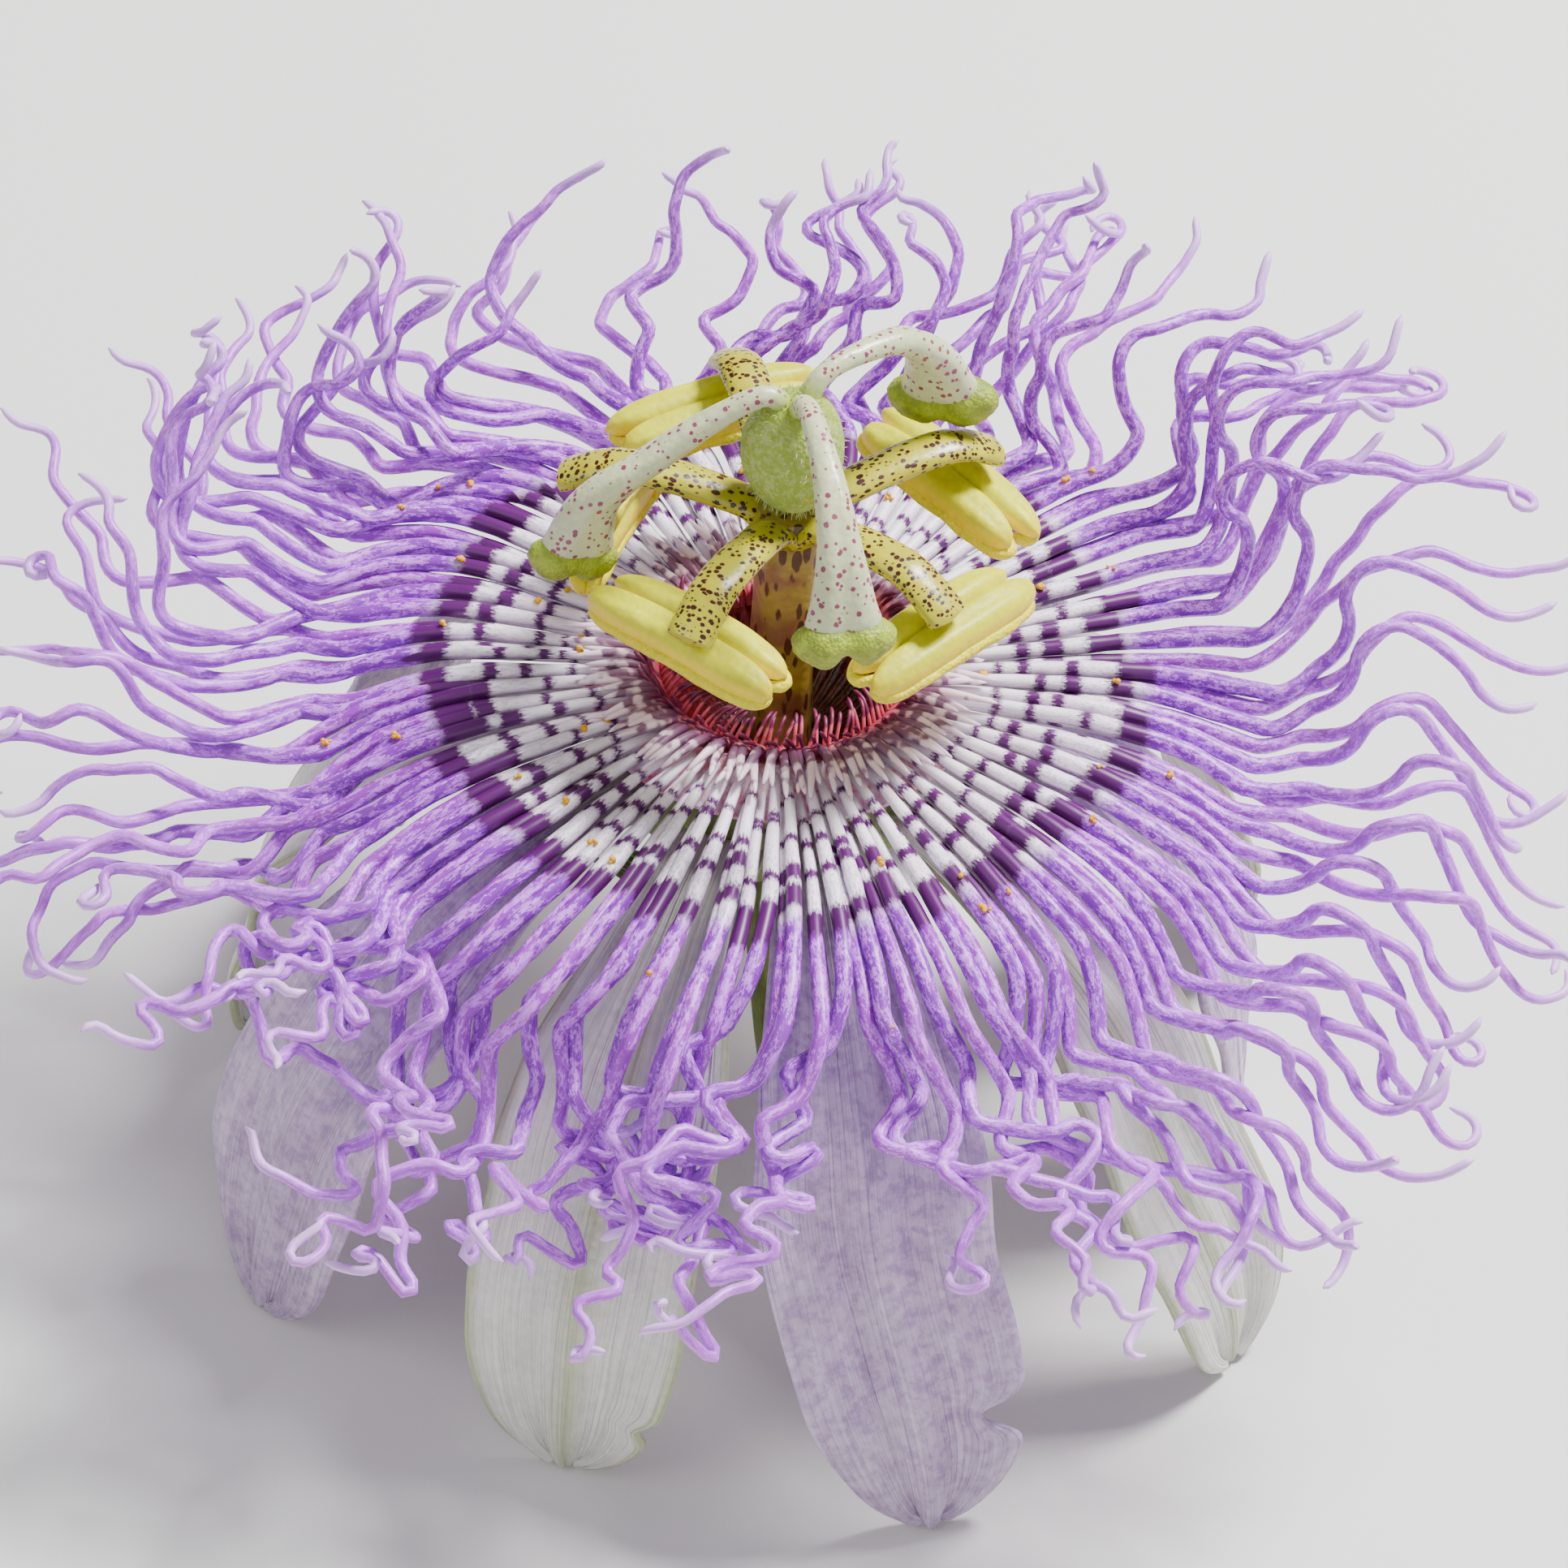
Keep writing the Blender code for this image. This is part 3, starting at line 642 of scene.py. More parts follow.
@shader_group("Mask", Distance=0.0, Centre=12.0, Width=0.5, Edge=0.3)
def ring_band(distance, centre, width, edge):
    """A ring round the axis: 1 within Width of Centre, fading over Edge. All three are in millimetres."""
    over = (abs(distance - centre) - width) / edge
    return [(1.0 - over).clamped()]


@shader_group("Distance", Vector=None)
def axis_distance(place):
    """Distance from the flower's axis, in millimetres."""
    return [place.vector("SUBTRACT", (*AXIS, 0.0)).scaled(1000.0, 1000.0, 0.0).vector("LENGTH")]


@shader_group("Mask", Vector=None, Scale=900.0, Cover=0.5, Soft=0.08)
def mottle(place, scale, cover, soft):
    """Patches at two sizes, for pigment that gathers in blotches."""
    both = clouds(place, scale, 2.0) * 0.6 + clouds(place, scale * 3.1, 2.0) * 0.4
    low = (1.0 - cover) * 0.4 + 0.3
    return [((both - low) / soft * 0.5 + 0.5).clamped()]


@shader_group("Mask", Vector=None, Size=0.3, Share=0.8)
def spots(place, size, share):
    """Separate oval spots, one to a cell, of uneven size. Vector is in cells."""
    cells = put(place.tree, "TexVoronoi", {"Vector": place, "Scale": 1.0, "Randomness": 0.85})
    uneven, chance, _ = cells["Color"].parts("Color")
    off = cells["Distance"] + (clouds(place, 4.0, 2.0) * 0.25 - 0.12)
    inside = ((size * (uneven * 0.6 + 0.6) - off) * 14.0).clamped()
    return [inside * chance.maths("LESS_THAN", share)]


@shader_group("Normal", "Light", Vector=None, Scale=3000.0, Depth=0.3, Height=0.0)
def skin_grain(place, scale, depth, height):
    """The fine grain of plant skin: a bump normal, and a value about 1 that lightens and darkens."""
    grain = 1.0 - put(place.tree, "TexVoronoi", {"Vector": place, "Scale": scale})["Distance"]
    rough = clouds(place, scale * 0.3)
    bump = put(place.tree, "Bump", {"Strength": depth, "Distance": 0.0002,
                                    "Height": grain * 0.6 + rough + height})
    return [bump["Normal"], grain * 0.12 + rough * 0.25 + 0.80]


@shader_group("Red", "Green", "Blue", Vector=None, Count=56.0, Start=0.5)
def filament_chance(place, count, start):
    """Random values that stay the same along each filament while it runs straight out from the throat."""
    x, y, _ = place.vector("SUBTRACT", (*AXIS, 0.0)).parts()
    turn = y.maths("ARCTAN2", x) / (2.0 * math.pi)
    number = (turn * count + start).maths("FLOOR")
    return put(place.tree, "TexWhiteNoise", {"W": number}, noise_dimensions="1D")["Color"].parts("Color")


@shader_group("Vector", UV=None, Along=30.0, Round=0.8, Vector=None)
def strand_space(uv, along, girth, place):
    """Coordinates on a strand without a seam: turns along it, and a circle round it."""
    run, turn, _ = uv.parts()
    turn = turn * (2.0 * math.pi)
    ring = combine(run * along, turn.maths("COSINE") * girth, turn.maths("SINE") * girth)
    return [ring.vector("ADD", place.scaled(260.0, 260.0, 0.0))]


class Skin:
    """One plant material and its coordinates. paint() links the finished colour."""

    def __init__(self, name, roughness, grain=2600.0, depth=0.25, soft=0.0, coat=0.0):
        self.material = bpy.data.materials.new(name)
        self.material.use_nodes = True
        self.tree = self.material.node_tree
        self.shader = self.tree.nodes["Principled BSDF"].inputs
        finish = {"Roughness": roughness, "Coat Weight": coat, "Coat Roughness": 0.25}
        if soft:
            finish |= {"Subsurface Weight": soft, "Subsurface Radius": (1.0, 0.7, 0.6),
                       "Subsurface Scale": 1.2 * MM}
        set_sockets(self.shader, finish)
        coordinates = put(self.tree, "TexCoord")
        self.place = coordinates["Object"]
        self.uv = coordinates["UV"]
        self.run, self.turn, _ = self.uv.parts()
        self.facing_up = put(self.tree, "NewGeometry")["Normal"].parts()[2]
        self.grain = grain
        self.depth = depth

    def across(self):
        """0 down the middle of a sheet or at the middle of a limb, and 1 at its edges or ends."""
        return abs(self.turn * 2.0 - 1.0)

    def paint(self, base, height=0.0):
        if self.depth:
            normal, light = skin_grain(self.place, self.grain, self.depth, height)
            base = base.vector("MULTIPLY", combine(light, light, light))
            self.tree.links.new(normal.socket, self.shader["Normal"])
        self.tree.links.new(base.socket, self.shader["Base Color"])
        return self.material


def leaf_skin(name, roughness, build, **finish):
    """A material whose colour build(skin) works out."""
    skin = Skin(name, roughness, **finish)
    return skin.paint(build(skin))


# ---- corona materials
def filament_skin(name, looks, blotch, count, start):
    """White near the throat with dark marks in rings, blotched further out, and pale at the tip; in the white
    part its downward-facing sides are darkened towards purple as painted shade.
    """
    skin = Skin(name, 0.42, depth=0.0)
    chance = filament_chance(skin.place, float(count), start)
    space = strand_space(skin.uv, 34.0, 0.9, skin.place)
    grain = clouds(space, 3.6, 2.0, 0.7)
    small = ramp(grain, 0.50, 0.60)
    specks = ramp(clouds(space, 1.1, 4.0, 0.85), 0.45, 0.53)
    distance = axis_distance(skin.place) + (grain * 0.9 - 0.45)
    marks = specks.maths("MAXIMUM", small * 0.5) * ramp(distance, 19.0, 34.0, 0.95, 0.5)
    outside = blend(marks, looks.lavender, blotch)
    near = blend(small * ramp(distance, 9.0, 15.0, 0.0, 0.35), looks.white, looks.violet)
    # painted shade: in the white part the downward-facing sides are darkened towards purple, more so further
    # from the throat
    painted_underside_shade = ramp(skin.facing_up, 0.5, -0.3) * ramp(distance, 7.0, 15.0, 0.1, 0.6)
    near = blend(painted_underside_shade, near, looks.purple)
    whole = blend(ramp(distance + chance[1] * 1.2, 16.6, 18.2), near, outside)
    masks = []
    for number, (centre, width, edge) in enumerate(BANDS):
        shift = chance[number % 3] * 1.7 - 0.85
        wide = (chance[(number + 1) % 3] + 0.45) * width
        masks.append(ring_band(distance + shift, centre, wide, edge))
    dark = masks[0]
    for mask in masks[1:]:
        dark = dark.maths("MAXIMUM", mask)
    whole = blend(dark, whole, looks.purple)
    return skin.paint(blend(ramp(skin.run, 0.88, 1.0, 0.0, 0.8), whole, looks.pale))


def streaked_skin(name, foot, ground, streak_and_shade, start, end, strength):
    """A short filament: a tinted foot, a pale ground, and darkly streaked between two shares of its length;
    its downward-facing side is tinted towards the streaks' colour as painted shade.
    """
    skin = Skin(name, 0.45, depth=0.0)
    place = skin.run + (clouds(skin.place, 1300.0, 1.0) * 0.9 - 0.45)
    dark = ramp(place, start - 0.10, start + 0.08) * ramp(place, end - 0.05, end + 0.10, 1.0, 0.0)
    base = blend(ramp(skin.run, 0.30, 0.80), foot, ground)
    # painted shade: the downward-facing side is tinted up to a quarter of the way to the streaks' colour
    base = blend(ramp(skin.facing_up, 0.5, -0.2, 0.0, 0.25), base, streak_and_shade)
    return skin.paint(blend(dark * strength, base, streak_and_shade))


def throat_skin(looks):
    """Dark red that darkens further down the throat as painted shade of the recess, and streaked with rose
    towards its rim.
    """
    skin = Skin("throat red", 0.25, grain=3500.0, depth=0.2, soft=0.1, coat=0.4)
    top = ramp(skin.place.parts()[2], CROWN - 3.4 * MM, CROWN - 0.6 * MM)
    streaks = mottle(skin.place.scaled(1.0, 1.0, 0.25), 1500.0, 0.5, 0.12)
    # painted shade: deep in the throat the red is darkened to between a fifth and three fifths of itself
    deep = blend(streaks, shade(looks.throat, 0.2), shade(looks.throat, 0.6))
    return skin.paint(blend(top, deep, blend(streaks, looks.throat, looks.rose)))


# ---- the long filaments
def route_at(azimuth, share):
    """A filament's turn and rise at a share of its length, how it kinks, and its length beside others."""
    stops = sorted(ROUTES)
    azimuth = (azimuth + 180.0) % 360.0 - 180.0
    before = max((stop for stop in stops if stop <= azimuth), default=stops[-1])
    after = min((stop for stop in stops if stop > azimuth), default=stops[0] + 360)
    part = smooth((azimuth - before) / (after - before))
    readings = []
    for stop in (before, (after + 180) % 360 - 180):
        turns, rises, *nature = ROUTES[stop]
        bends = [along_table(tuple(zip(ROUTE_SHARES, table)), share) for table in (turns, rises)]
        readings.append(bends + nature)
    return [between(first, second, part) for first, second in zip(*readings)]


def tepal_below(reach):
    """About how high the tepals lie under the corona."""
    return between(-3.6, -20.0, smooth((reach - 9.0) / 24.0))


def kinks(seed, spacing):
    """Random kinks along a filament: (share where it starts, turn, rise), the last two from -1 to 1."""
    chance = random.Random(seed)
    place = chance.uniform(0.33, 0.42)
    side = chance.choice((-1.0, 1.0))
    found = [(0.0, 0.0, 0.0)]
    while place < 1.05:
        found.append((place, side * chance.uniform(0.4, 1.0), chance.uniform(-0.75, 0.75)))
        side = -side if chance.random() < 0.8 else side
        place += spacing * chance.uniform(0.6, 1.45) * between(1.2, 0.68, (place - 0.35) / 0.65)
    return found


def kink_at(found, share, reach=0.017):
    """The turn and rise that the kinks give at a share: straight runs with quick bends between them."""
    turn, rise = found[0][1:]
    for place, next_turn, next_rise in found[1:]:
        part = smooth((share - place + reach) / (2.0 * reach))
        turn = between(turn, next_turn, part)
        rise = between(rise, next_rise, part)
    return turn, rise


def filament_line(azimuth, foot, settings, seed, bend):
    """The middle line of one long filament.

    It runs straight out over the rim and then kinks again and again. Neighbours kink together, in bundles,
    and each goes its own way towards its tip.
    """
    chance = random.Random(seed)
    total = settings.filament_length * route_at(azimuth, 0.0)[-1] * chance.uniform(0.93, 1.07)
    spacing = settings.kink_spacing / total
    bundle = math.floor(azimuth / 17.0 + 0.35 * sine(azimuth * 5.0))
    together = kinks(bundle * 31 + 7, spacing)
    alone = kinks(seed * 17 + 3, spacing)
    curl = chance.choice((-1.0, 1.0)) * chance.uniform(0.3, 1.0) if chance.random() < 0.5 else 0.0
    pace = chance.uniform(0.94, 1.06)
    place = at(azimuth, *foot)
    points = [place.copy()]
    for number in range(FILAMENT_STEPS):
        share = (number + 0.5) / FILAMENT_STEPS
        turn, rise, sharp, free, _ = route_at(azimuth, share * pace)
        turn *= bend
        rise *= bend if rise > 0.0 else 1.0
        own = free * smooth((share - 0.38) / 0.4)
        bundle_turn, bundle_rise = kink_at(together, share * pace)
        own_turn, own_rise = kink_at(alone, share)
        loose = sharp * smooth((share - 0.3) / 0.25)
        turn += loose * between(bundle_turn, own_turn * 1.2, own)
        rise += loose * 0.65 * between(bundle_rise, own_rise, own)
        rise += 14.0 * (1.0 - smooth(share / 0.12))
        turn += 6.0 * wave(seed * 1.7, share * 14.0, 3.0) * smooth(share / 0.3)
        turn += curl * 300.0 * smooth((share - 0.86) / 0.14) ** 1.5
        _, reach, level = around(place)
        clear = level - tepal_below(reach)
        if clear < 2.2 and share > 0.25:
            rise = between(rise, 30.0, smooth((2.2 - clear) / 1.6))
        ahead = outward(azimuth) * cosine(turn) + sideways(azimuth) * sine(turn)
        place += (ahead * cosine(rise) + UP * sine(rise)) * (total / FILAMENT_STEPS)
        points.append(place.copy())
    return points


def filament_radii(points, width):
    """Half widths along a long filament: thin at the throat, full over the rim, slimmer to a round tip."""
    radii = []
    last = len(points) - 1
    for number, point in enumerate(points):
        beat = 1.0 + 0.09 * noise.noise(point * 1100.0)
        end = round_end(number, last - 1.6, math.sqrt(2.7), 2, 0.04)
        radii.append(width / 2 * along_table(LONG_TAPER, number / last) * beat * end)
    return radii


def row_lines(settings, row):
    """The lines of one long row, each with its half widths."""
    first, jitter, shift_seed, line_seed, foot, girth, bend = ROWS[row]
    total = getattr(settings, f"{row}_count")
    lines = []
    for number in range(total):
        shift = random.Random(number + shift_seed).uniform(-jitter, jitter)
        azimuth = (number + first) * 360.0 / total + shift
        points = filament_line(azimuth, foot, settings, number + line_seed, bend)
        lines.append((points, filament_radii(points, settings.filament_width * girth)))
    return lines


class CORONA_OT_outer_rows(bpy.types.Operator):
    """Adds the two long rows of filaments and the ring that they grow from"""
    bl_idname = "passionflower.outer_rows"
    bl_label = "Outer Rows"

    def execute(self, context):
        looks = context.scene.corona_looks
        upper = filament_skin("filament violet", looks, looks.violet, looks.upper_count, 0.5)
        lower = filament_skin("filament magenta", looks, looks.magenta, looks.lower_count, 1.0)
        for row, slot, skin in (("upper", "filament_violet", upper), ("lower", "filament_lilac", lower)):
            finish(strands(f"corona_{row}", row_lines(looks, row)), slot, [f"corona_{row}_row"], skin)
        profile = [(6.15, -1.7), (7.9, -1.8), (9.3, -1.75), (9.4, -1.45), (8.3, -0.7), (7.0, -0.15),
                   (6.15, -0.6)]
        ring = turned("corona_ring", profile + profile[:1], 96, fill="NOTHING")
        finish(ring, "filament_lilac", [], leaf_skin("corona ring", 0.5, lambda skin: blend(
            mottle(skin.place, 900.0, 0.5, 0.15), looks.white, looks.rose)))
        return {"FINISHED"}


class CORONA_OT_inner_row(bpy.types.Operator):
    """Adds the short pointed filaments that lie round the throat"""
    bl_idname = "passionflower.inner_row"
    bl_label = "Inner Row"

    def execute(self, context):
        looks = context.scene.corona_looks
        lines = []
        chance = random.Random(41)
        for number in range(looks.inner_count):
            azimuth = number * 360.0 / looks.inner_count + chance.uniform(-1.2, 1.2)
            far = chance.uniform(3.0, 4.6)
            sway = chance.uniform(-4.0, 4.0)
            lift = chance.uniform(-0.1, 0.3)
            lines.append(short_strand((
                (azimuth, 5.75, -1.1),
                (azimuth, 6.1, -0.1),
                (azimuth + sway * 0.3, 6.0 + far * 0.4, 0.45 + lift),
                (azimuth + sway, 6.0 + far, 0.62 + lift * 0.5),
            ), INNER_TAPER, 14))
        ground = [between(*pair, 0.2) for pair in zip(looks.white, looks.rose)]
        streak_and_shade = [between(*pair, 0.6) for pair in zip(looks.maroon, looks.purple)]
        skin = streaked_skin("filament white", looks.rose, ground, streak_and_shade, 0.46, 0.74, 0.85)
        finish(strands("corona_inner", lines), "filament_white", ["corona_inner_row"], skin)
        return {"FINISHED"}


class CORONA_OT_throat(bpy.types.Operator):
    """Adds the dark-tipped fringe and the ribbed membrane that closes the cup"""
    bl_idname = "passionflower.throat"
    bl_label = "Throat"

    def execute(self, context):
        looks = context.scene.corona_looks
        lines = []
        chance = random.Random(43)
        for number in range(looks.fringe_count):
            azimuth = number * 360.0 / looks.fringe_count + chance.uniform(-1.0, 1.0)
            inner = number % 2 == 0
            foot = 5.75 if inner else 6.15
            long = chance.uniform(1.7, 2.4)
            lean = chance.uniform(0.45, 0.75) if inner else chance.uniform(-0.5, -0.1)
            skew = chance.uniform(2.0, 9.0) * (1.0 if inner else -1.0)
            lines.append(short_strand((
                (azimuth, foot, -0.9),
                (azimuth, foot - 0.1, -0.2),
                (azimuth + skew * 0.5, foot - long * lean * 0.5, -0.2 + long * 0.4),
                (azimuth + skew, foot - long * lean, -0.2 + long * (0.75 - abs(lean) * 0.5)),
            ), FRINGE_TAPER, 9))
        skin = streaked_skin("fringe maroon", looks.rose, looks.rose, looks.maroon, 0.54, 1.5, 0.92)
        finish(strands("fringe", lines), "fringe_maroon", ["corona_fringe"], skin)

        profile = through([(6.12, -0.5), (5.85, -1.4), (5.3, -2.5), (4.5, -3.45), (3.4, -4.35),
                           (2.25, -4.95)], 16)
        funnel = turned("throat_membrane", profile, MEMBRANE_RIBS * 8, fill="NOTHING")

        def fold(place):
            azimuth, reach, height = around(place)
            depth = 0.16 * smooth((reach - 2.2) / 1.5) * cosine(azimuth * MEMBRANE_RIBS)
            return at(azimuth, reach + depth, height + 0.3 * depth)

        reshape(funnel, fold)
        thicken(funnel, 0.35 * MM)
        tidy_mesh(funnel, 70.0)
        finish(funnel, "throat_red", ["operculum"], throat_skin(looks))
        return {"FINISHED"}


class CORONA_OT_pollen(bpy.types.Operator):
    """Scatters loose pollen on the corona"""
    bl_idname = "passionflower.pollen"
    bl_label = "Loose Pollen"

    def execute(self, context):
        looks = context.scene.centre_looks
        chance = random.Random(47)
        lines = row_lines(context.scene.corona_looks, "upper")
        mesh = bmesh.new()
        for _ in range(looks.pollen_count):
            points, radii = chance.choice(lines)
            index = chance.randrange(6, 44)
            base = points[index] + UP * radii[index]
            for _ in range(chance.randint(2, 5)):
                size = chance.uniform(0.09, 0.17) * MM
                shift = Vector((chance.gauss(0, 1), chance.gauss(0, 1), 0.0)) * 0.09 * MM
                shift.z = chance.uniform(0.2, 1.0) * size
                bmesh.ops.create_icosphere(mesh, subdivisions=1, radius=size,
                                           matrix=Matrix.Translation(base + shift))
        gold = leaf_skin("loose pollen", 0.7, lambda skin: shaded(
            clouds(skin.place, 2500.0), looks.pollen_gold, 0.8))
        finish(from_bmesh("loose_pollen", mesh, 60.0), "anther_yellow", [], gold)
        return {"FINISHED"}


# ---- tepals
def tepal_line(reach, height):
    """Points down the middle of a tepal, as (reach, height)."""
    spread = reach - TEPAL_ROOT
    drop = CROWN / MM + height
    corners = ((TEPAL_ROOT, height), (TEPAL_ROOT + 0.62 * spread, height - 0.03 * drop),
               (reach + 0.02 * spread, height - 0.42 * drop), (reach, height - drop + 0.4))
    line = interpolate_bezier(*(Vector((out, 0.0, up)) for out, up in corners), 121)
    return [Vector((spot.x, spot.z)) for spot in line]


def tepal_width(share, width):
    """A broad claw that swells to a strap with a round end."""
    return width * (0.45 + 0.55 * smooth(share / 0.55)) * round_end(share, 0.70, 0.302, 3, 0.02)


def build_tepal(name, place, height, looks, seed):
    """One sepal or petal: a grid bent down its middle line, ribbed along and wavy at its edges."""
    petal = name.startswith("petal")
    azimuth, reach, width, cupped, wavy, swing, kick = place
    line = tepal_line(reach, height)
    nick, narrow, deep = NICKS.get(name, (1.0, 1.0, 0.0))
    piece = primitive("grid", name, x_subdivisions=56, y_subdivisions=18, size=1.0, calc_uvs=True)

    def bend(spot):
        share = math.sin((spot.x + 0.5) * math.pi / 2)
        across = spot.y * 2.0
        mark = min(share, 0.9999) * 120
        index = int(mark)
        middle = line[index].lerp(line[index + 1], mark - index)
        ahead = (line[index + 1] - line[index]).normalized()
        full = smooth(share / 0.3) * smooth((1.0 - share) / 0.2)
        offset = cupped * 0.13 * width * across * across * full
        ribs = math.cos(across * math.pi * (3.0 if petal else 2.5)) * (1.0 - 0.5 * abs(across))
        folds = 0.5 * ribs + 0.5 * wave(across * 7.0, share * 1.6, seed * 1.7)
        offset += looks.rib_depth / MM * folds * smooth(share / 0.12) * 0.8
        offset += wavy * abs(across) ** 3 * 1.2 * wave(share * 7.0, math.copysign(2.0, across), seed)
        offset += 0.5 * wave(share * 5.0, across * 0.8, seed * 3.3) * full
        if not petal:
            offset -= 0.28 * bell(across, 0.10) * smooth(share / 0.1)
        wide = tepal_width(share, width) * (1.0 + 0.04 * wave(share * 9.0, seed, across))
        bow = smooth((share - 0.55) / 0.45)
        out = middle + Vector((-ahead.y, ahead.x)) * offset
        side = across * wide / 2 + swing * bow - bell(share - nick, narrow) * max(across, 0.0) ** 3 * deep
        return at(azimuth, out.x + kick * bow ** 2, out.y, side)

    reshape(piece, bend)
    piece.data.materials.append(None)
    piece.data.materials.append(None)
    thicken(piece, looks.thickness, material_offset=1, material_offset_rim=1)
    round_off(piece)
    tidy_mesh(piece, 75.0)
    keep_above_floor(piece)
    return piece


def keep_above_floor(piece):
    """Lifts a piece onto the surface that it rests on, if it dips below."""
    lowest = min(corner.co.z for corner in piece.data.vertices)
    if lowest < 0.0:
        for corner in piece.data.vertices:
            corner.co.z -= lowest * smooth(1.0 - corner.co.z / (8.0 * MM))


def tepal_skin(name, color):
    """Thin tissue with veins along it, darker along its vein streaks: partly vein colour, partly painted shade
    of folds. color(skin, veins, patches, fine) gives its colour.
    """
    skin = Skin(name, 0.5, grain=2000.0, depth=0.6)
    stretch = combine(skin.run * 1.2, skin.turn * 26.0, 0.0)
    # the vein streaks are partly vein colour and partly painted shade of folds
    veins = ramp(clouds(stretch, 1.0), 0.35, 0.65)
    patches = clouds(skin.place, 260.0)
    fine = clouds(skin.place, 1500.0, 3.0, 0.7)
    return skin.paint(color(skin, veins, patches, fine), veins * 1.5)


class TEPAL_OT_sepals(bpy.types.Operator):
    """Adds the five green-backed sepals"""
    bl_idname = "passionflower.sepals"
    bl_label = "Sepals"

    def execute(self, context):
        looks = context.scene.tepal_looks
        green = looks.sepal_green

        def pale(skin, veins, patches, fine):
            # partly painted shade: the white is darker along the vein streaks
            base = shaded(veins * 0.3 + ramp(fine, 0.4, 0.7) * 0.2, looks.sepal_white, 0.78)
            across = skin.across()
            middle = ramp(across + patches * 0.25, 0.05, 0.42, 0.55, 0.0)
            return blend(middle.maths("MAXIMUM", ramp(across, 0.84, 1.0, 0.0, 0.6)), base, green)

        def back(skin, veins, patches, fine):
            # partly painted shade: the green is darker along the vein streaks
            return shaded(veins * 0.4 + patches * 0.5, green, 0.45)

        skins = [tepal_skin("sepal inside", pale), tepal_skin("sepal outside", back)]
        for number, place in enumerate(SEPALS, 1):
            piece = build_tepal(f"sepal_{number}", place, SEPAL_HEIGHT, looks, number)
            finish(piece, "sepal_white", [f"sepal_{number}"], *skins)
        return {"FINISHED"}


class TEPAL_OT_petals(bpy.types.Operator):
    """Adds the five petals, between and above the sepals"""
    bl_idname = "passionflower.petals"
    bl_label = "Petals"

    def execute(self, context):
        looks = context.scene.tepal_looks

        def lilac(skin, veins, patches, fine):
            # partly painted shade: the lilac gathers along the vein streaks
            share = veins * 0.3 + ramp(patches, 0.35, 0.65) * 0.3 + ramp(fine, 0.4, 0.65) * 0.45
            base = blend(share, looks.petal_white, looks.petal_lilac_and_fold_shade)
            return blend(ramp(skin.run, 0.0, 0.16, 0.6, 0.0), base, looks.sepal_green)

        skin = tepal_skin("petal", lilac)
        for number, place in enumerate(PETALS, 1):
            piece = build_tepal(f"petal_{number}", place, PETAL_HEIGHT, looks, number + 10)
            finish(piece, "petal_white", [f"petal_{number}"], skin, skin)
        return {"FINISHED"}


# ---- column, ovary, straps, styles
class CENTRE_OT_column(bpy.types.Operator):
    """Adds the column that carries the stamens and the ovary"""
    bl_idname = "passionflower.column"
    bl_label = "Column"

    def execute(self, context):
        looks = context.scene.centre_looks
        profile = through([(2.16, -7.4), (1.85, -6.2), (1.62, -3.5), (1.52, 1.0), (1.5, 4.5), (1.56, 7.6),
                           (1.72, 9.1), (1.62, 9.75)], 30)
        piece = turned("column", profile, 48)

        def flute(place):
            azimuth, reach, height = around(place)
            if reach < 0.2:
                return place
            ridge = 0.05 * cosine(5 * (azimuth + 26))
            return at(azimuth, reach * (1.0 + ridge + 0.03 * noise.noise(place * 500.0)), height)

        reshape(piece, flute)

        def paint(skin):
            mask = spots(skin.place.scaled(1900.0, 1900.0, 620.0), 0.42, 0.9)
            tone = ramp(clouds(skin.place, 420.0), 0.3, 0.7)
            return blend(mask * 0.85, blend(tone * 0.5, looks.column_brown, looks.strap_green), looks.spot)

        finish(piece, "column_brown", ["androgynophore"], leaf_skin("column", 0.4, paint, coat=0.2))
        return {"FINISHED"}


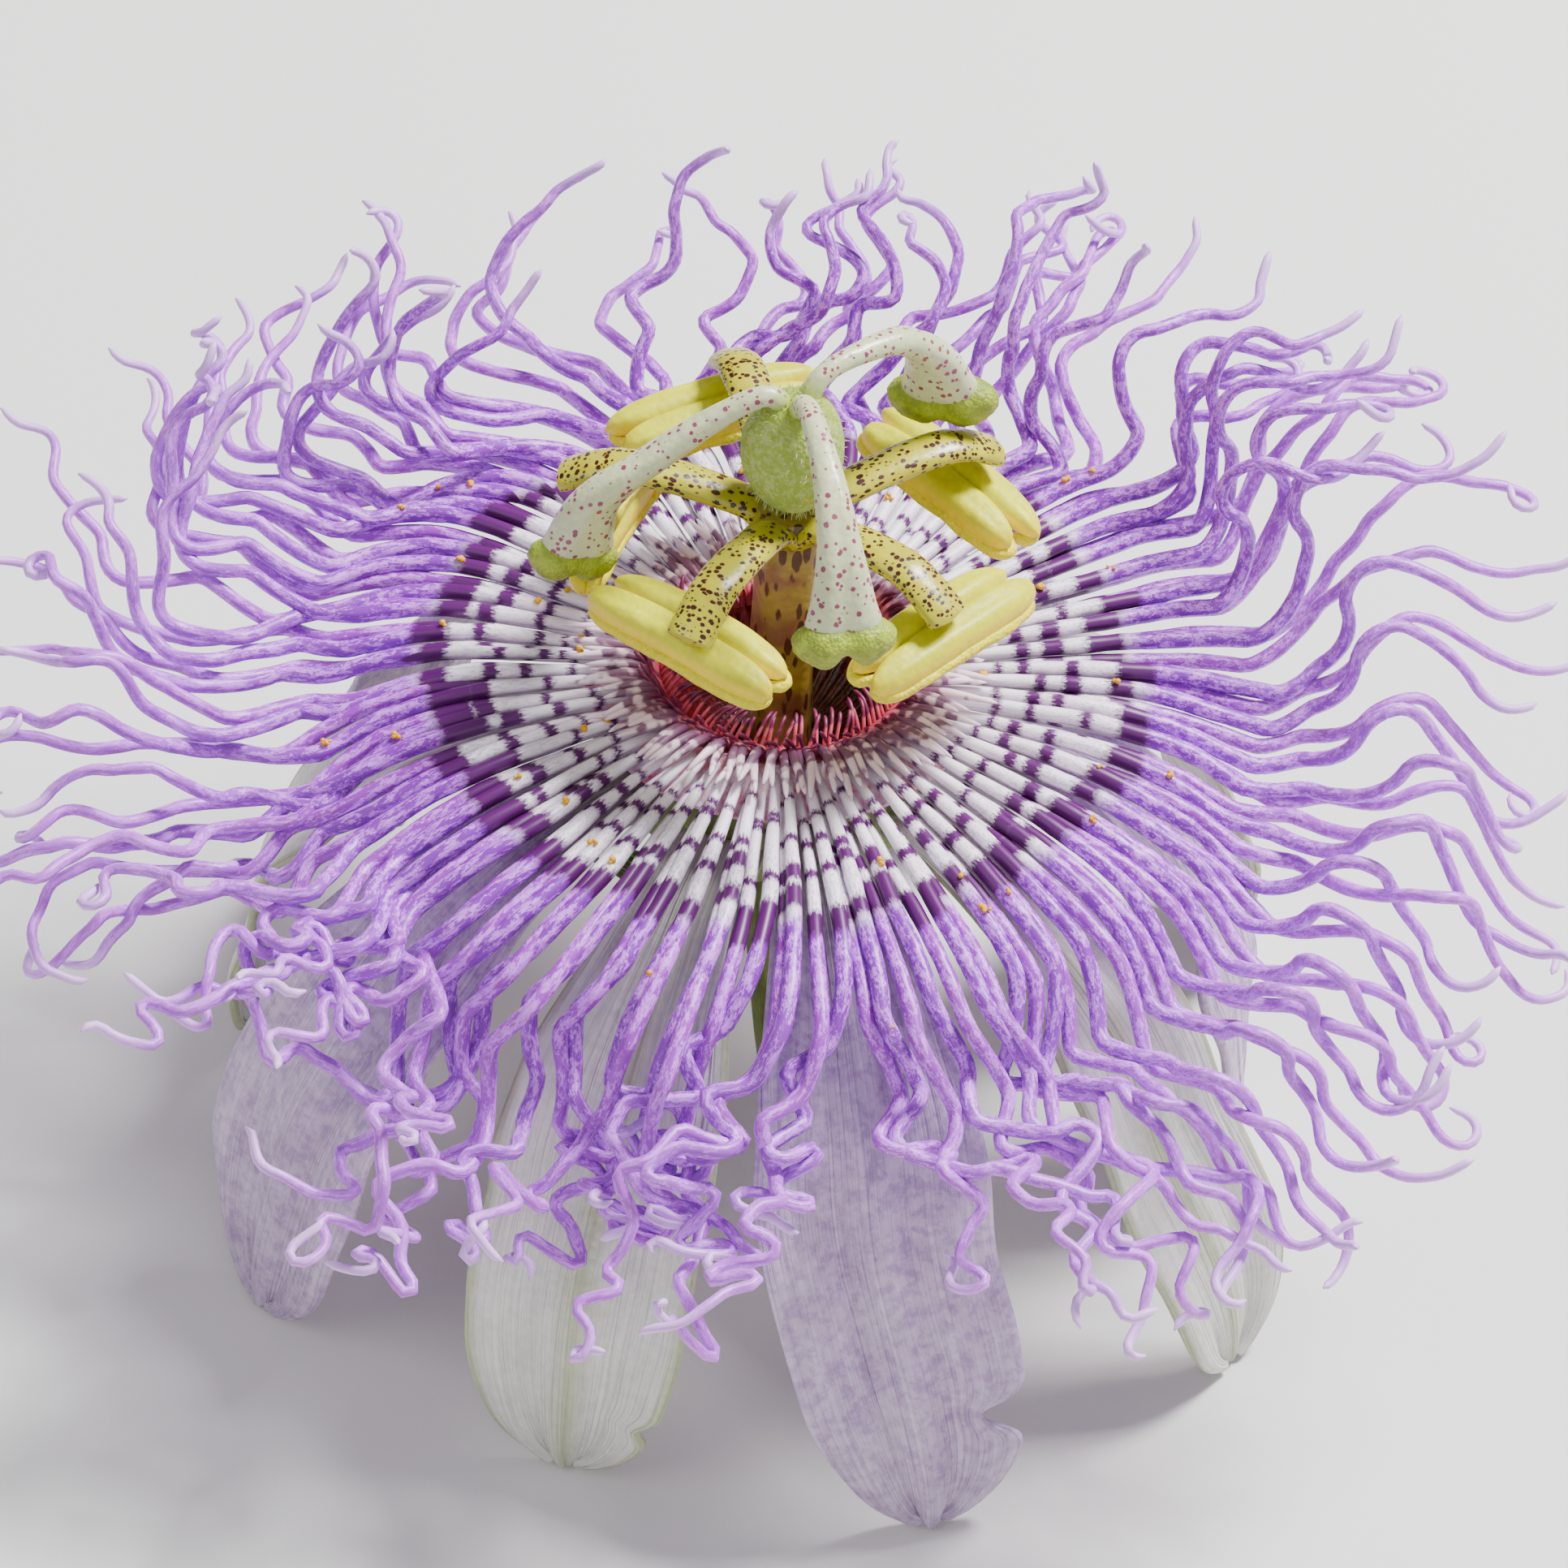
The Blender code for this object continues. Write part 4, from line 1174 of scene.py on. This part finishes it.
class CENTRE_OT_ovary(bpy.types.Operator):
    """Adds the downy ovary"""
    bl_idname = "passionflower.ovary"
    bl_label = "Ovary"

    def execute(self, context):
        looks = context.scene.centre_looks
        half = (OVARY_TOP - OVARY_BASE) / 2
        piece = primitive("uv_sphere", "ovary_body", segments=60, ring_count=36, radius=1.0)

        def egg(spot):
            azimuth = math.degrees(math.atan2(spot.x, -spot.y))
            flat = spot.to_2d().length
            furrow = 1.0 - 0.05 * (1.0 + cosine(3 * (azimuth - 75.0))) * flat
            bump = 1.0 + 0.02 * noise.noise(spot * 3.0)
            reach = 2.5 * flat ** 0.9 * furrow * bump * (1.0 - 0.06 * spot.z)
            return at(azimuth, reach, OVARY_BASE + half * (1.0 + spot.z))

        reshape(piece, egg)
        tidy_mesh(piece)

        def paint(skin):
            fine = ramp(clouds(skin.place, 2600.0, 3.0, 0.7), 0.42, 0.6)
            base = blend(fine * 0.28, looks.ovary_green, looks.down)
            base = blend(spots(skin.place.cells(2400.0), 0.26, 0.35) * 0.7, base, looks.pollen_gold)
            top = OVARY_HIGH.z
            share = ramp(skin.place.parts()[2], top - 1.1 * MM, top - 0.3 * MM, 0.0, 0.7)
            return blend(share, base, shade(looks.stigma_green, 0.8))

        finish(piece, "ovary_green", ["ovary"], leaf_skin("ovary", 0.8, paint, grain=5000.0, depth=0.6))

        chance = random.Random(53)
        lines = []
        for _ in range(OVARY_HAIRS):
            polygon = chance.choice(piece.data.polygons)
            base = polygon.center.copy()
            lean = (polygon.normal + Vector([chance.gauss(0, 0.35) for _ in range(3)])).normalized()
            size = chance.uniform(0.16, 0.34) * MM
            droop = Vector((0.0, 0.0, -0.25 * size))
            lines.append(([base - lean * 0.03 * MM, base + lean * size * 0.6, base + lean * size + droop],
                          [0.022 * MM, 0.018 * MM, 0.006 * MM]))
        down = leaf_skin("ovary down", 0.7, lambda skin: blend(
            clouds(skin.place, 900.0), looks.down, looks.ovary_green))
        finish(strands("ovary_down", lines, 0), "ovary_green", [], down)
        return {"FINISHED"}


def strap_route(reach, height):
    """Knots of a strap: out of the column, over a low arch and down to its tip."""
    spread = reach - 1.6
    return [(1.2, 8.7, 0.62), (2.1, 9.5, 0.6), (1.6 + 0.4 * spread, between(9.5, height, 0.35) + 0.75, 0.6),
            (1.6 + 0.7 * spread, between(9.5, height, 0.65) + 1.0, 0.6),
            (1.6 + 0.88 * spread, height + 0.7, 0.6), (reach + 0.5, height - 0.2, 0.6)]


def strap_outline(share, angle):
    """A strap: broad at its root, flat below and square at its tip."""
    end = round_end(share, 0.95, 0.051, 2.5, 0.05)
    wide = along_table(((0.0, 1.05), (0.2, 0.86), (0.5, 0.92), (0.85, 0.95), (1.0, 1.0)), share)
    flat = 0.88 if math.sin(angle) < 0 else 1.0
    return wide * end, flat * end


class CENTRE_OT_stamens(bpy.types.Operator):
    """Adds the five spotted straps and their anthers"""
    bl_idname = "passionflower.stamens"
    bl_label = "Stamens"

    def execute(self, context):
        looks = context.scene.centre_looks
        green = looks.anther_green

        def spotted(skin):
            mask = spots(combine(skin.run * 20.0, skin.turn * 38.0, 0.0), 0.47, 1.0)
            tone = ramp(clouds(skin.place, 500.0), 0.3, 0.7)
            return blend(mask, shaded(tone, looks.strap_green, 0.8), looks.spot)

        def plump(skin):
            edge = ramp(skin.facing_up, 0.65, 0.0, 0.0, 0.85)
            ends = ramp(skin.across(), 0.86, 0.99, 0.0, 0.8)
            base = shaded(ramp(clouds(skin.place, 500.0), 0.3, 0.7), green, 0.82)
            return blend(edge.maths("MAXIMUM", ends), base, looks.rim_yellow)

        strap = leaf_skin("strap", 0.34, spotted, depth=0.12, soft=0.1, coat=0.25)
        sacs = leaf_skin("anther", 0.5, plump, soft=0.2, coat=0.08)
        rims = leaf_skin("anther rim", 0.55, lambda skin: blend(
            ramp(clouds(skin.place, 1800.0, 3.0, 0.7), 0.35, 0.65), looks.rim_yellow, green),
            grain=5200.0, depth=0.5)
        for number, ((azimuth, reach, height), place) in enumerate(zip(STRAPS, ANTHERS), 1):
            piece = limb(f"strap_{number}", azimuth, strap_route(reach, height), 2.0, strap_outline, sides=24)
            finish(piece, "strap_green", [f"stamen_filament_{number}"], strap)
            piece = build_anther(f"anther_sacs_{number}", place)
            finish(piece, "anther_yellow", [f"anther_{number}"], sacs)
            piece = build_anther_rim(f"anther_rim_{number}", place)
            finish(piece, "anther_yellow", [], rims)
        return {"FINISHED"}


def anther_frame(place):
    """The matrix that carries an anther from its own axes (X across, Y along, Z up) to its place."""
    azimuth, reach, height, turn, tilt, roll = place
    spin = Quaternion((0.0, 0.0, 1.0), math.radians(azimuth + turn - 90.0))
    lean = Quaternion((0.0, 1.0, 0.0), math.radians(roll)) @ Quaternion((1.0, 0.0, 0.0), math.radians(tilt))
    return Matrix.Translation(at(azimuth, reach, height)) @ (spin @ lean).to_matrix().to_4x4()


def build_anther(name, place):
    """Two plump pollen sacs side by side, each with its own rounded ends."""
    matrix = anther_frame(place)
    steps = 36
    sides = 28
    sacs = []
    for side in (-1.0, 1.0):
        rings = []
        for number in range(steps + 1):
            share = number / steps * 2.0 - 1.0
            end = round_end(abs(share), 0.0, 1.0, 5.0, 0.0) * 0.97 + 0.03
            ring = []
            for k in range(sides):
                x = cosine(360.0 * k / sides)
                z = sine(360.0 * k / sides)
                lump = 1.0 + 0.05 * wave(x + side * 4.0, share * 3.0, z + place[0])
                crease = 1.0 - 0.13 * bell(x * side - 0.1, 0.2) * smooth(z)
                wide = power_of(x, 0.8)
                across = wide * 0.96 * end * lump * between(0.62, 0.94, end)
                across += side * (0.86 - 0.10 * abs(share) ** 3)
                high = power_of(z, 0.85) * (0.92 if z > 0 else 0.7)
                up = high * end * lump * crease + 0.3 * (1.0 - share * share) - 0.1 - 0.12 * side * wide
                ring.append(matrix @ (Vector((across, share * (5.25 + 0.18 * side), up)) * MM))
            rings.append(ring)
        sacs.append(lofted(name, rings))
    select_only(sacs[0])
    sacs[1].select_set(True)
    bpy.ops.object.join()
    sacs[0].name = name
    return sacs[0]


def build_anther_rim(name, place):
    """The open golden lips that stand out round an anther's lower edge."""
    matrix = anther_frame(place)
    steps = 96
    points = []
    for k in range(steps + 1):
        x = power_of(cosine(360.0 * k / steps), 0.45) * 1.66
        y = power_of(sine(360.0 * k / steps), 0.6) * 5.0
        y -= math.copysign(0.7, y) * bell(x, 0.35) * smooth((abs(y) - 4.0) / 1.0)
        points.append(matrix @ (Vector((x, y, -0.35 + 0.12 * wave(x, y, 5.0) - 0.012 * y * y)) * MM))
    radii = [(0.30 + 0.06 * noise.noise(spot * 900.0)) * MM for spot in points]
    return strands(name, [(points, radii)])


def style_outline(share, angle):
    """A style: slim at its root, club-shaped at its end, with a groove along its upper side."""
    wide = along_table(((0.0, 0.9), (0.15, 0.8), (0.5, 0.92), (0.78, 1.1), (0.92, 1.35), (1.0, 1.62)), share)
    dip = 0.22 * smooth((share - 0.45) / 0.4) * bell(math.cos(angle), 0.25)
    end = round_end(share, 0.96, 0.045, 2, 0.1)
    return wide * end, (1.0 - (dip if math.sin(angle) > 0 else dip * 0.5)) * end


class CENTRE_OT_styles(bpy.types.Operator):
    """Adds the three arching styles and their stigmas"""
    bl_idname = "passionflower.styles"
    bl_label = "Styles"

    def execute(self, context):
        looks = context.scene.centre_looks

        def speckled(skin):
            mask = spots(skin.place.cells(2900.0), 0.39, 0.72)
            soft = mottle(skin.place, 1500.0, 0.42, 0.2)
            base = blend(soft * 0.14, looks.style_pale, looks.style_pink)
            base = blend(mask * 0.95, base, looks.style_pink)
            return blend(ramp(skin.turn, 0.05, 0.20, 0.95, 0.0), base, looks.stigma_green)

        pale = leaf_skin("style", 0.35, speckled, soft=0.2, coat=0.3)
        pad = leaf_skin("stigma", 0.5, lambda skin: shaded(
            ramp(clouds(skin.place, 1200.0, 4.0, 0.7), 0.35, 0.65), looks.stigma_green, 0.6),
            grain=6000.0, depth=0.5)
        for side, (azimuth, size, twist, route) in STYLES.items():
            knots = [(reach, height + OVARY_TOP, half) for reach, height, half in route]
            piece = limb(f"style_limb_{side}", azimuth, knots, 1.25, style_outline, 28, 44, twist)
            finish(piece, "style_pale", [f"style_{side}"], pale)
            piece = build_stigma(f"stigma_pad_{side}", azimuth, knots, size, twist)
            finish(piece, "stigma_green", [f"stigma_{side}"], pad)
        return {"FINISHED"}


def build_stigma(name, azimuth, knots, size, twist):
    """A two-lobed pad across the end of its style, with a groove between its lobes."""
    tip = Vector(knots[-1][:2])
    ahead = (tip - Vector(knots[-2][:2])).normalized()
    spin = Matrix.Rotation(math.radians(twist), 2)
    piece = primitive("uv_sphere", name, segments=40, ring_count=24, radius=1.0)

    def shape(spot):
        lobe = 1.0 - 0.6 * bell(spot.y, 0.22) * smooth((spot.z + 0.6) / 1.2)
        rough = (1.0 + 0.05 * noise.noise(spot * 5.0)) * size
        along = (0.55 + 1.2 * spot.z * lobe - 0.25 * spot.y * spot.y) * rough
        thick = spot.x * 1.15 * rough * (1.0 - 0.2 * bell(spot.y, 0.3))
        side, thick = spin @ Vector((spot.y * 2.3 * rough, thick))
        flat = tip + ahead * along + Vector((-ahead.y, ahead.x)) * thick
        return at(azimuth, *flat, side)

    reshape(piece, shape)
    tidy_mesh(piece)
    return piece


# ---- cup, stalk and bracts
class BASE_OT_cup(bpy.types.Operator):
    """Adds the ribbed cup"""
    bl_idname = "passionflower.cup"
    bl_label = "Cup"

    def execute(self, context):
        looks = context.scene.base_looks
        outside = through([(1.3, -13.0), (1.45, -12.5), (1.9, -11.6), (3.2, -10.7), (5.5, -9.2), (7.2, -7.2),
                           (7.9, -5.0), (7.95, -3.4), (7.9, -1.95)], 36)
        inside = through([(6.9, -1.95), (6.65, -4.3), (5.0, -6.7), (2.6, -7.8), (0.3, -7.85)], 14)
        piece = turned("cup", outside + inside, 120)

        def ribbed(place):
            azimuth, reach, height = around(place)
            if reach < 0.5:
                return place
            fade = smooth((height + 12.0) / 3.0) * smooth((-2.2 - height) / 1.5) * smooth((reach - 1.6) / 3.0)
            rib = 0.22 * cosine(10 * (azimuth + 17)) * fade
            return at(azimuth, reach + rib + 0.05 * noise.noise(place * 400.0), height)

        reshape(piece, ribbed)
        tidy_mesh(piece)

        def flecked(skin):
            tone = ramp(clouds(skin.place, 350.0, 4.0), 0.3, 0.7)
            base = shaded(tone, looks.cup_green, 0.6)
            return blend(spots(skin.place.cells(1100.0), 0.22, 0.5) * 0.4, base, (0.75, 0.8, 0.5))

        finish(piece, "cup_green", ["floral_cup"], leaf_skin("cup", 0.5, flecked))
        return {"FINISHED"}


class BASE_OT_stalk(bpy.types.Operator):
    """Adds the short cut stalk"""
    bl_idname = "passionflower.stalk"
    bl_label = "Stalk"

    def execute(self, context):
        looks = context.scene.base_looks

        def ridged(share, angle):
            scale = 1.0 + 0.045 * math.cos(5 * angle) + 0.03 * wave(angle, share * 6.0, 2.0)
            return scale, scale

        def streaky(skin):
            tone = ramp(clouds(combine(skin.run * 14.0, skin.turn * 3.0, 0.0), 1.0), 0.35, 0.65)
            base = shaded(tone, looks.stalk_green, 0.6)
            end = at(STALK_AZIMUTH, STALK[-1][0], 1.5 - CROWN / MM)
            off = skin.place.vector("SUBTRACT", end).vector("LENGTH")
            pith = blend(ramp(off, 0.35 * MM, 0.75 * MM), (0.80, 0.82, 0.58), (0.42, 0.50, 0.18))
            return blend(ramp(skin.facing_up, -0.75, -0.92), base, pith)

        piece = limb("stalk", STALK_AZIMUTH, STALK, 1.0, ridged, sides=40, steps=48)
        finish(piece, "stalk_green", ["pedicel"], leaf_skin("stalk", 0.55, streaky))
        return {"FINISHED"}


def bract_half_width(along):
    return (0.26 + 2.1 * along * (1.0 - along)) * 1.75


def build_bract(name, azimuth):
    """A small toothed leaf that rises away from the stalk."""
    piece = primitive("grid", name, x_subdivisions=60, y_subdivisions=16, size=1.0, calc_uvs=True)

    def leaf(spot):
        along = spot.x + 0.5
        across = spot.y * 2.0
        wide = bract_half_width(along) * (1.0 if along < 0.99 else 0.3)
        tooth = 0.14 * abs(((along * 9.0) % 1.0) - 0.5) * smooth(along * 5.0)
        side = across * (wide + tooth * abs(across) ** 3) * smooth((1.02 - along) / 0.25)
        lift = 2.6 * along * along + 0.35 * across * across + 0.22 * math.sin(along * 11.0) * across ** 2
        return at(azimuth, BRACT_FOOT + along * BRACT_LENGTH, BRACT_HEIGHT + lift, side)

    reshape(piece, leaf)
    thicken(piece, 0.3 * MM)
    round_off(piece)
    tidy_mesh(piece, 70.0)
    return piece


def gland_lines(azimuth):
    """Two pairs of stalked glands on the edges of a bract."""
    lines = []
    for side in (-1.0, 1.0):
        for along in (0.14, 0.30):
            height = BRACT_HEIGHT + 2.6 * along * along + 0.4
            edge = bract_half_width(along) * side * 0.95
            base = at(azimuth, BRACT_FOOT + along * BRACT_LENGTH, height, edge)
            tip = base + (UP + sideways(azimuth) * side) * 0.35 * MM
            lines.append(([base, base.lerp(tip, 0.5), base.lerp(tip, 0.8), tip],
                          [0.10 * MM, 0.12 * MM, 0.24 * MM, 0.16 * MM]))
    return lines


class BASE_OT_bracts(bpy.types.Operator):
    """Adds the three toothed bracts and their nectar glands"""
    bl_idname = "passionflower.bracts"
    bl_label = "Bracts"

    def execute(self, context):
        looks = context.scene.base_looks

        def veined(skin):
            across = skin.across()
            rib = ramp(across, 0.03, 0.10, 0.8, 0.0)
            slant = skin.run * 9.0 - across * 3.0
            veins = ramp((slant * (2.0 * math.pi)).maths("SINE"), 0.75, 1.0, 0.0, 0.45)
            base = shaded(clouds(skin.place, 700.0), looks.bract_green, 0.5)
            return blend(rib.maths("MAXIMUM", veins), base, (0.52, 0.62, 0.26))

        green = leaf_skin("bract", 0.5, veined)
        gland = leaf_skin("gland", 0.3, lambda skin: shaded(
            clouds(skin.place, 2500.0), looks.gland_amber, 0.5), coat=0.4)
        for number in range(1, 4):
            azimuth = 120.0 * number - 80.0
            finish(build_bract(f"bract_leaf_{number}", azimuth), "bract_green", [f"bract_{number}"], green)
            finish(strands(f"bract_glands_{number}", gland_lines(azimuth)), "bract_green", [], gland)
        return {"FINISHED"}


# ---- stage
class STAGE_OT_studio(bpy.types.Operator):
    """Adds the plain floor, the soft lights and the camera"""
    bl_idname = "passionflower.studio"
    bl_label = "Studio"

    def execute(self, context):
        looks = context.scene.stage_looks
        floor = primitive("plane", "floor", size=3.0, location=(0.0, 0.0, 0.0))
        material = bpy.data.materials.new("floor")
        material.use_nodes = True
        set_sockets(material.node_tree.nodes["Principled BSDF"].inputs,
                    {"Base Color": (*looks.floor_color, 1.0), "Roughness": 0.8})
        floor.data.materials.append(material)

        for name, azimuth, elevation, distance, size, energy in (
            ("key", 125.0, 58.0, 0.55, 0.16, looks.key_power),
            ("fill", -60.0, 40.0, 0.75, 0.50, looks.fill_power),
            ("front", 15.0, 30.0, 0.80, 0.60, looks.fill_power),
        ):
            light = bpy.data.lights.new(name, "AREA")
            light.shape = "DISK"
            light.size = size
            light.energy = energy
            lamp = new_object(name, light)
            lamp.location = MIDDLE + (outward(azimuth) * cosine(elevation) + UP * sine(elevation)) * distance
            lamp.rotation_euler = (MIDDLE - lamp.location).to_track_quat("-Z", "Y").to_euler()

        world = bpy.data.worlds.new("studio")
        world.use_nodes = True
        set_sockets(world.node_tree.nodes["Background"].inputs,
                    {"Color": (0.80, 0.84, 0.90, 1.0), "Strength": 0.35})
        context.scene.world = world

        elevation = looks.camera_elevation
        roll = looks.camera_roll
        level = Vector((1.0, 0.0, 0.0))
        back = Vector((0.0, -math.cos(elevation), math.sin(elevation)))
        level_up = Vector((0.0, math.sin(elevation), math.cos(elevation)))
        right = level * math.cos(roll) + level_up * math.sin(roll)
        up = level_up * math.cos(roll) - level * math.sin(roll)
        # the camera looks at a point a little under the crown
        aim = MIDDLE - up * 5.7 * MM + right * 0.12 * MM
        camera = new_object("camera", bpy.data.cameras.new("camera"))
        camera.data.lens = 135.65
        camera.data.clip_start = 0.01
        turn = Matrix((right, up, back)).transposed().to_4x4()
        camera.matrix_world = Matrix.Translation(aim + back * looks.camera_distance) @ turn
        context.scene.camera = camera
        return {"FINISHED"}


# ---- panel, running
OPERATORS = (
    STAGE_OT_studio,
    BASE_OT_stalk,
    BASE_OT_bracts,
    BASE_OT_cup,
    TEPAL_OT_sepals,
    TEPAL_OT_petals,
    CORONA_OT_outer_rows,
    CORONA_OT_inner_row,
    CORONA_OT_throat,
    CORONA_OT_pollen,
    CENTRE_OT_column,
    CENTRE_OT_ovary,
    CENTRE_OT_stamens,
    CENTRE_OT_styles,
)
SETTINGS = {
    "corona_looks": CoronaSettings,
    "tepal_looks": TepalSettings,
    "centre_looks": CentreSettings,
    "base_looks": BaseSettings,
    "stage_looks": StageSettings,
}


class FLOWER_PT_panel(bpy.types.Panel):
    """Lists the flower's settings and the steps that build it"""
    bl_idname = "FLOWER_PT_panel"
    bl_label = "Passion Flower"
    bl_space_type = "VIEW_3D"
    bl_region_type = "UI"
    bl_category = "Passion Flower"

    def draw(self, context):
        for name, settings in SETTINGS.items():
            box = self.layout.box()
            for field in settings.__annotations__:
                box.prop(getattr(context.scene, name), field)
        for operator in OPERATORS:
            self.layout.operator(operator.bl_idname)


def register():
    for name, settings in SETTINGS.items():
        bpy.utils.register_class(settings)
        setattr(bpy.types.Scene, name, PointerProperty(type=settings))
    for operator in (*OPERATORS, FLOWER_PT_panel):
        bpy.utils.register_class(operator)


def unregister():
    for operator in (FLOWER_PT_panel, *reversed(OPERATORS)):
        bpy.utils.unregister_class(operator)
    for name, settings in SETTINGS.items():
        delattr(bpy.types.Scene, name)
        bpy.utils.unregister_class(settings)


def main():
    register()
    for operator in OPERATORS:
        getattr(bpy.ops.passionflower, operator.bl_idname.split(".")[1])()


if __name__ == "__main__":
    main()
